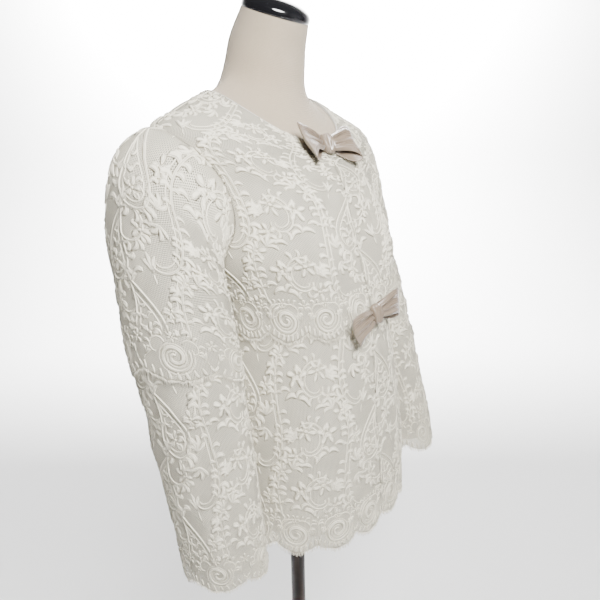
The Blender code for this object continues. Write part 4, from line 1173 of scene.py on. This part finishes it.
def panels(body):
    """Return the body's pieces of lace and lining by name."""
    seams = {
        "front_left": (lambda along: np.full(np.shape(along), FRONT_SHARE),
                       lambda along: (1 - armhole_reach(along, False)) / 4 - SEAM_SHARE),
        "back": (lambda along: (1 + armhole_reach(along, True)) / 4 + SEAM_SHARE,
                 lambda along: (3 - armhole_reach(along, True)) / 4 - SEAM_SHARE),
        "front_right": (lambda along: (3 + armhole_reach(along, False)) / 4 + SEAM_SHARE,
                        lambda along: np.full(np.shape(along), 1 - FRONT_SHARE)),
    }
    made = {}
    for panel, sides in seams.items():
        made[f"bodice_{panel}"] = Piece(body, sides, BODICE_EDGE, NECKLINE_LEVEL, "bodice", BODY_SCALLOPS)
        made[f"skirt_{panel}"] = Piece(body, sides, 0.0, SKIRT_TOP, "skirt", BODY_SCALLOPS)
        made[f"lining_{panel}"] = Piece(body, sides, LINING_EDGE, NECKLINE_LEVEL + 0.0015)
    return made


def arms(surfaces):
    """Return the sleeves' pieces of lace and lining by name."""
    whole = (None, None)
    made = {}
    for word, surface in surfaces.items():
        for tier, bottom, top in (
            ("upper", UPPER_SLEEVE_END, 0.0003), ("lower", LOWER_SLEEVE_END, LOWER_SLEEVE_START)
        ):
            made[f"sleeve_{tier}_{word}"] = Piece(surface, whole, bottom, top, tier, SLEEVE_SCALLOPS)
        made[f"lining_sleeve_{word}"] = Piece(surface, whole, SLEEVE_LINING_END, 0.001)
    return made


def jacket_surfaces():
    """Return the body's surface and both sleeves' surfaces."""
    body = body_surface(JACKET_SECTIONS, 0.70)
    right, left = sleeve_surface(RIGHT_SLEEVE, -1, body), sleeve_surface(LEFT_SLEEVE, 1, body)
    return body, {"right": right, "left": left}


def jacket_pieces():
    """Return the body's surface and every piece of lace and lining by name."""
    body, sleeves = jacket_surfaces()
    return body, {**panels(body), **arms(sleeves)}


def fringe_mesh(piece, name, settings):
    """Build the short loose threads along a scalloped edge, each a thin tapered blade."""
    girth = piece.surface.girth
    left, right = 0.0, 1.0
    if piece.left is not None:
        bottom = np.array(piece.bottom)
        left, right = float(piece.left(bottom)), float(piece.right(bottom))
    count = int((right - left) * girth / settings.fringe_spacing)
    rng = np.random.default_rng(7)
    across = left + (np.arange(count) + rng.uniform(0.1, 0.9, count)) / count * (right - left)
    lean = rng.uniform(-0.0018, 0.0018, count) / girth
    length = settings.fringe_length * rng.uniform(0.55, 1.15, count)
    rise = scallop_rise(across, piece.scallops)
    stations = []
    for part, width in ((0.0, 0.00085), (0.5, 0.00070), (1.0, 0.00025)):
        place = across + lean * part
        distance = rise + 0.0006 - length * part
        along = piece.along(distance)
        out = piece.out(place, piece.along(np.maximum(distance, 0))) - 0.0001
        out = out + 0.0009 * part * rng.uniform(-1, 1, count)
        half = width / 2 / girth
        stations.append(piece.surface.at(place - half, along, out))
        stations.append(piece.surface.at(place + half, along, out))
        stations.append(piece.surface.at(place, along, out + width * 0.8))
    points = np.stack(stations, axis=1)
    base = np.arange(count)[:, None, None] * 9
    quads = np.array([(k * 3 + a, k * 3 + (a + 1) % 3, k * 3 + 3 + (a + 1) % 3, k * 3 + 3 + a)
                      for k in range(2) for a in range(3)])
    ends = np.array(((2, 1, 0), (6, 7, 8)))
    faces = (quads[None] + base).reshape(-1, 4).tolist() + (ends[None] + base).reshape(-1, 3).tolist()
    mesh = bpy.data.meshes.new(name)
    mesh.from_pydata(points.reshape(-1, 3), [], faces)
    turn_faces_out(mesh)
    return mesh


def turn_faces_out(mesh):
    """Make every closed strip's faces point outward."""
    bm = bmesh.new()
    bm.from_mesh(mesh)
    bmesh.ops.recalc_face_normals(bm, faces=bm.faces)
    bm.to_mesh(mesh)
    bm.free()


def lay_lace(pieces, settings):
    """Make the net, the cords and the fringe of every lace piece."""
    net, cord, thread = net_material(settings), cord_material(settings), fringe_material(settings)
    for name, piece in pieces.items():
        if piece.tier is None:
            continue
        wide, tall = NET_CELLS[piece.tier]
        wide = wide * 2 if name.endswith("back") else wide
        sheet, cut = make_sheet(piece, name + "_net", (wide, tall), net, NET_WALL)
        mesh = cord_mesh(piece, name + "_cords")
        turn_faces_out(mesh)
        cords = finish_piece(name + "_cords", mesh, cord)
        ends = fringe_mesh(piece, name + "_fringe", settings)
        fringe = finish_piece(name + "_fringe", ends, thread)
        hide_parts(name)
        place = "sleeve_" + name.rsplit("_", 1)[1] if name.startswith("sleeve") else name.split("_", 1)[1]


def lay_lining(pieces, settings):
    """Make the lining of the body and of the sleeves."""
    cloth = lining_material(settings)
    for name, piece in pieces.items():
        if piece.tier is not None:
            continue
        wide, tall = LINING_CELLS
        wide = wide * 2 if name.endswith("back") or "sleeve" in name else wide
        sheet, cut = make_sheet(piece, name + "_cloth", (wide, tall), cloth, LINING_WALL)
        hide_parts(name)
        "lining_back_cloth" if "sleeve" in name else "form_linen_cover"


def edge_band(body, settings):
    """Make the neckline's narrow bound edge."""
    cloth = lining_material(settings)
    cloth.name = "bound_edge"
    across = np.linspace(0.0, 1.0, 241)[:-1]
    line = body.at(across, np.full(240, NECKLINE_LEVEL + 0.0012), np.full(240, -0.0009))
    curve = bpy.data.curves.new("neckline_edge", "CURVE")
    curve.dimensions = "3D"
    curve.bevel_depth = 0.0010
    curve.bevel_resolution = 2
    spline = curve.splines.new("POLY")
    spline.points.add(len(line) - 1)
    spline.points.foreach_set("co", np.column_stack((line, np.ones(len(line)))).ravel())
    spline.use_cyclic_u = True
    guide = bpy.data.objects.new("neckline_edge_line", curve)
    bpy.context.scene.collection.objects.link(guide)
    bpy.context.view_layer.update()
    mesh = bpy.data.meshes.new_from_object(guide.evaluated_get(bpy.context.evaluated_depsgraph_get()))
    mesh.name = "neckline_edge"
    bpy.data.objects.remove(guide, do_unlink=True)
    mesh.materials.clear()
    finish_piece("neckline_edge", mesh, cloth)


def front_points(body, x, z, out):
    """Return points of the front at x and z below the neck point, at a height over the lace."""
    x, z = np.asarray(x, dtype=float), np.asarray(z, dtype=float)
    side = np.where(x < 0, -1.0, 1.0)
    fraction, level = np.full(x.shape, 0.06), 0.616 + z
    for _ in range(14):
        here = body.sample(body.points, fraction, level)
        error = np.stack((np.abs(x) - here[..., 0], z + NECK_POINT_HEIGHT - here[..., 2]), axis=-1)
        d_across = (body.sample(body.points, fraction + 0.003, level) - here)[..., (0, 2)] / 0.003
        d_along = (body.sample(body.points, fraction, level + 0.004) - here)[..., (0, 2)] / 0.004
        det = d_across[..., 0] * d_along[..., 1] - d_across[..., 1] * d_along[..., 0]
        step_u = (error[..., 0] * d_along[..., 1] - error[..., 1] * d_along[..., 0]) / det
        step_v = (error[..., 1] * d_across[..., 0] - error[..., 0] * d_across[..., 1]) / det
        fraction = np.clip(fraction + step_u, 0.00001, 0.24)
        level = np.clip(level + np.clip(step_v, -0.05, 0.05), 0.0, 0.692)
    points = body.at(fraction, level, out)
    points[..., 0] = np.abs(points[..., 0]) * side
    return points


def bow_points(body, bow, along, up, out):
    """Return points by their place in a bow's own plane, laid on the front."""
    cos, sin = math.cos(bow["tilt"]), math.sin(bow["tilt"])
    return front_points(body, along * cos - up * sin, bow["z"] + along * sin + up * cos, out)


def bow_loop(body, name, bow, side, satin):
    """Make one loop: a ribbon out to its fold and back, gathered at the knot."""
    start = bow["knot_half_width"] - 0.0008

    def place(s, t):
        turn = math.tau * (0.045 + 0.91 * s)
        reach, over = (1 - np.cos(turn)) / 2, -np.sin(turn)
        q = 2 * t - 1
        shape = 0.12 * q + 0.10 * np.abs(q) if side > 0 else 0.13 - 0.09 * q * q + 0.03 * q
        length = bow["loop_length"] * (1 + shape)
        half = bow["neck_half"] * 0.9 + (bow["end_half"] - bow["neck_half"] * 0.9) * reach**0.8
        away = start + length * reach
        crown = 1 - 0.35 * q * q
        middle = bow["seat"] + SATIN_WALL + bow["belly"] * (0.20 + 0.32 * np.sin(math.pi * reach * 0.5))
        height = middle + bow["belly"] * 0.5 * over * crown + LOOP_SPRING * reach**2
        gather = np.clip(1 - reach, 0, 1) ** 0.8
        pleats = 0.0027 * np.cos(math.tau * 1.4 * q + 0.5) + 0.0012 * np.cos(math.tau * 2.9 * q + 1.4)
        dent = -0.0034 * np.exp(-(((q - 0.15) / 0.30) ** 2)) * np.sin(math.pi * np.clip(reach, 0, 1)) ** 1.5
        height = height + (pleats * gather + dent) * np.clip(0.35 + over, 0, 1)
        lean = 0.006 * reach * over - LOOP_DROOP * reach
        points = bow_points(body, bow, side * away, half * q + lean, height)
        return points, np.column_stack((s, t)) * np.array(RIBBON_UV)

    bm = mapped_grid(64, 26, place)
    bm.normal_update()
    item = new_piece(name + "_satin", bm, satin)
    add_wall(item, BOW_WALL, 0.0)
    return item


def bow_knot(body, name, bow, satin):
    """Make the knot: a short band pulled round the middle, with folds along its length."""
    bm = bmesh.new()
    bmesh.ops.create_uvsphere(bm, u_segments=56, v_segments=36, radius=1.0, calc_uvs=True)
    flat = np.array([vert.co for vert in bm.verts])
    powered = np.sign(flat) * np.abs(flat) ** 0.72
    along, up, out = powered[:, 0], powered[:, 1], powered[:, 2]
    waist = 1 - 0.22 * (1 - up * up) * (1 - np.abs(along))
    fold = 0.0016 * np.cos(along * 6.5 + 1.1 * up) + 0.0008 * np.cos(along * 13.0 - 1.4 * up)
    height = bow["seat"] + bow["knot_height"] * (0.5 + 0.5 * out) + fold * np.clip(out + 0.3, 0, 1)
    across = along * bow["knot_half_width"] * waist
    points = bow_points(body, bow, across, up * bow["knot_half_height"], height)
    for vert, point in zip(bm.verts, points):
        vert.co = point
    bmesh.ops.recalc_face_normals(bm, faces=bm.faces)
    return new_piece(name + "_satin", bm, satin)


def make_form():
    """Make the padded torso and neck: one smooth closed form with a flat underside."""
    settings = bpy.context.scene.jacket_form
    shell, bare = body_surface(JACKET_SECTIONS, 0.70), body_surface(FORM_SECTIONS, 0.806)
    levels = np.concatenate((np.linspace(0.05, 0.66, 72), np.linspace(0.668, 0.805, 30)))

    def place(s, t):
        along = np.interp(t, np.linspace(0, 1, len(levels)), levels)
        neck = np.clip((along - NECKLINE_LEVEL) / (FORM_NECK_LEVEL - NECKLINE_LEVEL), 0, 1)
        quarter = np.abs((s * 4 + 2) % 4 - 2)
        tip = ((along - ARMHOLE_HIGH) / FORM_TIP_SPREAD[0]) ** 2
        tip = tip + ((quarter - 1) / FORM_TIP_SPREAD[1]) ** 2
        inset = -FORM_DEPTH * (1 - neck) - FORM_TIP_DEPTH * np.exp(-tip)
        under = np.clip((along - 0.455) / 0.025, 0, 1) * np.clip((0.690 - along) / 0.009, 0, 1)
        points = bare.at(s, along, inset)
        points += (shell.at(s, np.minimum(along, 0.699), inset) - points) * under[:, None]
        return points, np.column_stack((s * bare.girth, along))

    bm = mapped_grid(128, len(levels) - 1, place, True)
    rims = [edge for edge in bm.edges if edge.is_boundary]
    bmesh.ops.holes_fill(bm, edges=rims, sides=0)
    bmesh.ops.recalc_face_normals(bm, faces=bm.faces)
    hard_piece("form_linen_cover", bm, linen_material(settings), 50, "form_torso")


def hard_piece(name, bm, material, sharp, node):
    """Finish a hard piece, with edges sharp past an angle in degrees, in place of a node."""
    item = new_piece(name, bm, material)
    item.data.set_sharp_from_angle(angle=math.radians(sharp))
    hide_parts(node)


def spun(profile, steps):
    """Spin a profile of (radius, height) round the upright axis into a closed shape."""
    bm = bmesh.new()
    verts = [bm.verts.new((radius, 0.0, height)) for radius, height in profile]
    edges = [bm.edges.new(pair) for pair in zip(verts, verts[1:])]
    bmesh.ops.spin(bm, geom=verts + edges, cent=(0, 0, 0), axis=(0, 0, 1), angle=math.tau, steps=steps,
                   use_merge=True)
    bmesh.ops.remove_doubles(bm, verts=bm.verts, dist=0.00002)
    bmesh.ops.recalc_face_normals(bm, faces=bm.faces)
    return bm


def make_stand():
    """Make the neck cap, the pole and the base."""
    wood = wood_material()
    cap = spun(smooth_profile(CAP_PROFILE[:7], 6) + [(0.0468, 0.0006), (0.0, 0.0006)], 96)
    lean = Matrix.Rotation(CAP_LEAN, 4, "X")
    shift = Matrix.Translation(Vector(CAP_CENTRE) + Vector((0, 0, NECK_POINT_HEIGHT)))
    bmesh.ops.transform(cap, matrix=shift @ lean, verts=cap.verts)
    hard_piece("neck_cap_gloss", cap, cap_material(), 50, "neck_cap")
    low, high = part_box("pole")
    flat = POLE_RADIUS - POLE_CHAMFER
    pole = spun([(0.0, high.z), (flat, high.z), (POLE_RADIUS, high.z - POLE_CHAMFER),
                 (POLE_RADIUS, low.z + POLE_CHAMFER), (flat, low.z), (0.0, low.z)], 64)
    hard_piece("pole_wood", pole, wood, 30, "pole")
    socket = POLE_RADIUS + POLE_SOCKET_GAP
    rim_radius, rim_height = BASE_PROFILE[0]
    inside = [(0.0, BASE_SOCKET_FLOOR), (socket, BASE_SOCKET_FLOOR), (socket, rim_height - 0.001),
              (socket + 0.001, rim_height), (rim_radius, rim_height)]
    base = spun(inside + smooth_profile(BASE_PROFILE[1:7], 5) + [(0.0, 0.0)], 128)
    hard_piece("base_wood", base, wood, 40, "base")


def smooth_profile(points, cuts):
    """Return a profile with rounded runs between its own points."""
    points = np.array(points, dtype=float)
    slopes = np.gradient(points, axis=0)
    made = []
    for k in range(len(points) - 1):
        for t in np.linspace(0, 1, cuts, endpoint=False):
            made.append(tuple((2 * t**3 - 3 * t**2 + 1) * points[k] + (t**3 - 2 * t**2 + t) * slopes[k]
                              + (3 * t**2 - 2 * t**3) * points[k + 1] + (t**3 - t**2) * slopes[k + 1]))
    made.append(tuple(points[-1]))
    return made


def colour_setting(name, description, default):
    """Return a colour that a user can change."""
    return FloatVectorProperty(name=name, description=description, subtype="COLOR", size=3, min=0, max=1,
                               default=default)


def number_setting(name, description, default, **kind):
    """Return a number that a user can change, with its unit or subtype."""
    return FloatProperty(name=name, description=description, default=default, **kind)


class JacketClothSettings(PropertyGroup):
    """Sizes and colours of the cloth."""

    lace_colour: colour_setting("Lace", "Colour of the cords and the net", (0.860, 0.805, 0.650))
    lining_colour: colour_setting("Lining", "Colour of the lining", (0.640, 0.618, 0.555))
    satin_colour: colour_setting("Satin", "Colour of the bows", (0.205, 0.155, 0.112))
    net_cell: number_setting("Net cell", "Width of one cell of the net", 0.0019, unit="LENGTH")
    net_openness: number_setting(
        "Net openness", "How clear the net's holes are", 0.9, subtype="FACTOR", min=0, max=1)
    fringe_length: number_setting("Fringe length", "Length of the loose threads", 0.0062, unit="LENGTH")
    fringe_spacing: number_setting("Fringe spacing", "Distance between threads", 0.0013, unit="LENGTH")


class JacketFormSettings(PropertyGroup):
    """The form's cover."""

    linen_colour: colour_setting("Linen", "Colour of the form's cover", (0.430, 0.345, 0.240))


class JacketStageSettings(PropertyGroup):
    """The camera and the studio."""

    lens: number_setting("Lens", "Focal length", 31.99, unit="CAMERA")
    camera_place: FloatVectorProperty(
        name="Camera place", description="Where the camera stands", size=3, subtype="TRANSLATION",
        unit="LENGTH", default=(-0.59751, -0.51160, 1.07315))
    look: FloatVectorProperty(
        name="Look", description="Direction of view", size=3, subtype="DIRECTION",
        default=(0.73652, 0.61092, -0.29036))
    roll: number_setting("Roll", "Turn about the line of view", math.radians(-1.02), subtype="ANGLE")
    key_power: number_setting("Key light", "Power of the main soft light", 49.0, unit="POWER")
    fill_power: number_setting("Fill light", "Power of the fill light", 2.0, unit="POWER")
    paper_power: number_setting("Backdrop light", "Power of the backdrop's light", 1300.0, unit="POWER")
    sky: number_setting("Sky", "Strength of the even light from all round", 0.13)
    paper: colour_setting("Paper", "Colour of floor and backdrop", (0.90, 0.90, 0.90))


class JACKET_OT_lace(Operator):
    """Lay the net, the raised cords and the fringe of every lace piece"""

    bl_idname = "jacket.lace"
    bl_label = "Lace"

    def execute(self, context):
        _, pieces = jacket_pieces()
        lay_lace(pieces, context.scene.jacket_cloth)
        return {"FINISHED"}


class JACKET_OT_lining(Operator):
    """Lay the lining of the body and the sleeves, and the bound neckline"""

    bl_idname = "jacket.lining"
    bl_label = "Lining"

    def execute(self, context):
        body, pieces = jacket_pieces()
        lay_lining(pieces, context.scene.jacket_cloth)
        edge_band(body, context.scene.jacket_cloth)
        return {"FINISHED"}


class JACKET_OT_bows(Operator):
    """Tie both satin bows"""

    bl_idname = "jacket.bows"
    bl_label = "Bows"

    def execute(self, context):
        body, _ = jacket_surfaces()
        satin = satin_material(context.scene.jacket_cloth)
        for name, values in BOWS.items():
            bow = dict(zip(BOW_COLUMNS, values))
            ribbon, band = BOW_CUTS[name]
            tied = {f"{name}_loop_{word}": (bow_loop(body, f"{name}_loop_{word}", bow, side, satin), ribbon)
                    for side, word in ((-1, "right"), (1, "left"))}
            tied[f"{name}_knot"] = (bow_knot(body, f"{name}_knot", bow, satin), band)
            for node, (item, cut) in tied.items():
                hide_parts(node)
        return {"FINISHED"}


class JACKET_OT_form(Operator):
    """Build the padded form"""

    bl_idname = "jacket.form"
    bl_label = "Dress Form"

    def execute(self, context):
        make_form()
        return {"FINISHED"}


class JACKET_OT_stand(Operator):
    """Turn the neck cap, the pole and the base"""

    bl_idname = "jacket.stand"
    bl_label = "Stand"

    def execute(self, context):
        make_stand()
        return {"FINISHED"}


class JACKET_OT_stage(Operator):
    """Set the floor, the backdrop, the lights and the camera"""

    bl_idname = "jacket.stage"
    bl_label = "Stage"

    def execute(self, context):
        settings = context.scene.jacket_stage
        bm = bmesh.new()
        bmesh.ops.create_grid(bm, x_segments=40, y_segments=1, size=0.5)
        across = Vector((settings.look[0], settings.look[1], 0)).normalized()
        side = Vector((-across.y, across.x, 0))
        for vert in bm.verts:
            run = (vert.co.x + 0.5) * 8.0
            turn = min(max((run - 4.2) / 1.6, 0.0), 1.0) * math.pi / 2
            ahead = min(run, 4.2) + math.sin(turn) * 1.0
            height = (1 - math.cos(turn)) * 1.0 + max(run - 5.8, 0.0) * 2.0
            vert.co = across * (ahead - 2.4) + side * (vert.co.y * 14.0) + Vector((0, 0, height - 0.0005))
        bmesh.ops.recalc_face_normals(bm, faces=bm.faces)
        mesh = bpy.data.meshes.new("studio_paper")
        bm.to_mesh(mesh)
        bm.free()
        mesh.shade_smooth()
        mesh.materials.append(stage_material("studio_paper", tuple(settings.paper)))
        paper = bpy.data.objects.new("studio_paper", mesh)
        context.scene.collection.objects.link(paper)
        world = bpy.data.worlds.new("studio")
        world.use_nodes = True
        world.node_tree.nodes["Background"].inputs["Color"].default_value = (1.0, 1.0, 1.0, 1.0)
        world.node_tree.nodes["Background"].inputs["Strength"].default_value = settings.sky
        context.scene.world = world
        target = Vector((0.0, 0.0, 0.90))
        for name, place, size, power in (
            ("key_light", (-0.50, -0.78, 1.62), 0.60, settings.key_power),
            ("fill_light", (0.9, -2.0, 1.3), 1.8, settings.fill_power),
            ("back_light", (0.6, 1.7, 2.0), 1.6, settings.fill_power * 0.5),
            ("paper_light", (1.6, 1.3, 2.6), 2.4, settings.paper_power),
        ):
            lamp = bpy.data.lights.new(name, "AREA")
            lamp.energy = power
            lamp.shape = "DISK"
            lamp.size = size
            item = bpy.data.objects.new(name, lamp)
            item.location = place
            aim = Vector((3.2, 2.6, 1.6)) if name == "paper_light" else target
            item.rotation_euler = (aim - Vector(place)).to_track_quat("-Z", "Y").to_euler()
            context.scene.collection.objects.link(item)
        camera = bpy.data.cameras.new("camera")
        camera.lens = settings.lens
        camera.sensor_width = 36.0
        camera.clip_start = 0.01
        item = bpy.data.objects.new("camera", camera)
        forward = Vector(settings.look).normalized()
        right = forward.cross(Vector((0, 0, 1))).normalized()
        up = right.cross(forward)
        cos, sin = math.cos(settings.roll), math.sin(settings.roll)
        right, up = right * cos + up * sin, up * cos - right * sin
        item.matrix_world = Matrix.Translation(Vector(settings.camera_place)) @ Matrix(
            (right, up, -forward)).transposed().to_4x4()
        context.scene.collection.objects.link(item)
        context.scene.camera = item
        return {"FINISHED"}


class JACKET_PT_panel(Panel):
    """The jacket's settings and its build steps"""

    bl_idname = "JACKET_PT_panel"
    bl_label = "Lace Jacket"
    bl_space_type = "VIEW_3D"
    bl_region_type = "UI"
    bl_category = "Lace Jacket"

    def draw(self, context):
        for group in (context.scene.jacket_cloth, context.scene.jacket_form, context.scene.jacket_stage):
            box = self.layout.box()
            for key in group.__annotations__:
                box.prop(group, key)
        for operator in STEPS:
            self.layout.operator(operator.bl_idname)


STEPS = (JACKET_OT_form, JACKET_OT_stand, JACKET_OT_lining, JACKET_OT_lace, JACKET_OT_bows, JACKET_OT_stage)
CLASSES = (JacketClothSettings, JacketFormSettings, JacketStageSettings, *STEPS, JACKET_PT_panel)


def register():
    """Register the classes and their settings."""
    for item in CLASSES:
        bpy.utils.register_class(item)
    bpy.types.Scene.jacket_cloth = PointerProperty(type=JacketClothSettings)
    bpy.types.Scene.jacket_form = PointerProperty(type=JacketFormSettings)
    bpy.types.Scene.jacket_stage = PointerProperty(type=JacketStageSettings)


def unregister():
    """Remove the settings and the classes."""
    del bpy.types.Scene.jacket_stage
    del bpy.types.Scene.jacket_form
    del bpy.types.Scene.jacket_cloth
    for item in reversed(CLASSES):
        bpy.utils.unregister_class(item)


def main():
    """Build every piece."""
    register()
    bpy.ops.jacket.form()
    bpy.ops.jacket.stand()
    bpy.ops.jacket.lining()
    bpy.ops.jacket.lace()
    bpy.ops.jacket.bows()
    bpy.ops.jacket.stage()
    bpy.context.view_layer.update()


if __name__ == "__main__":
    main()
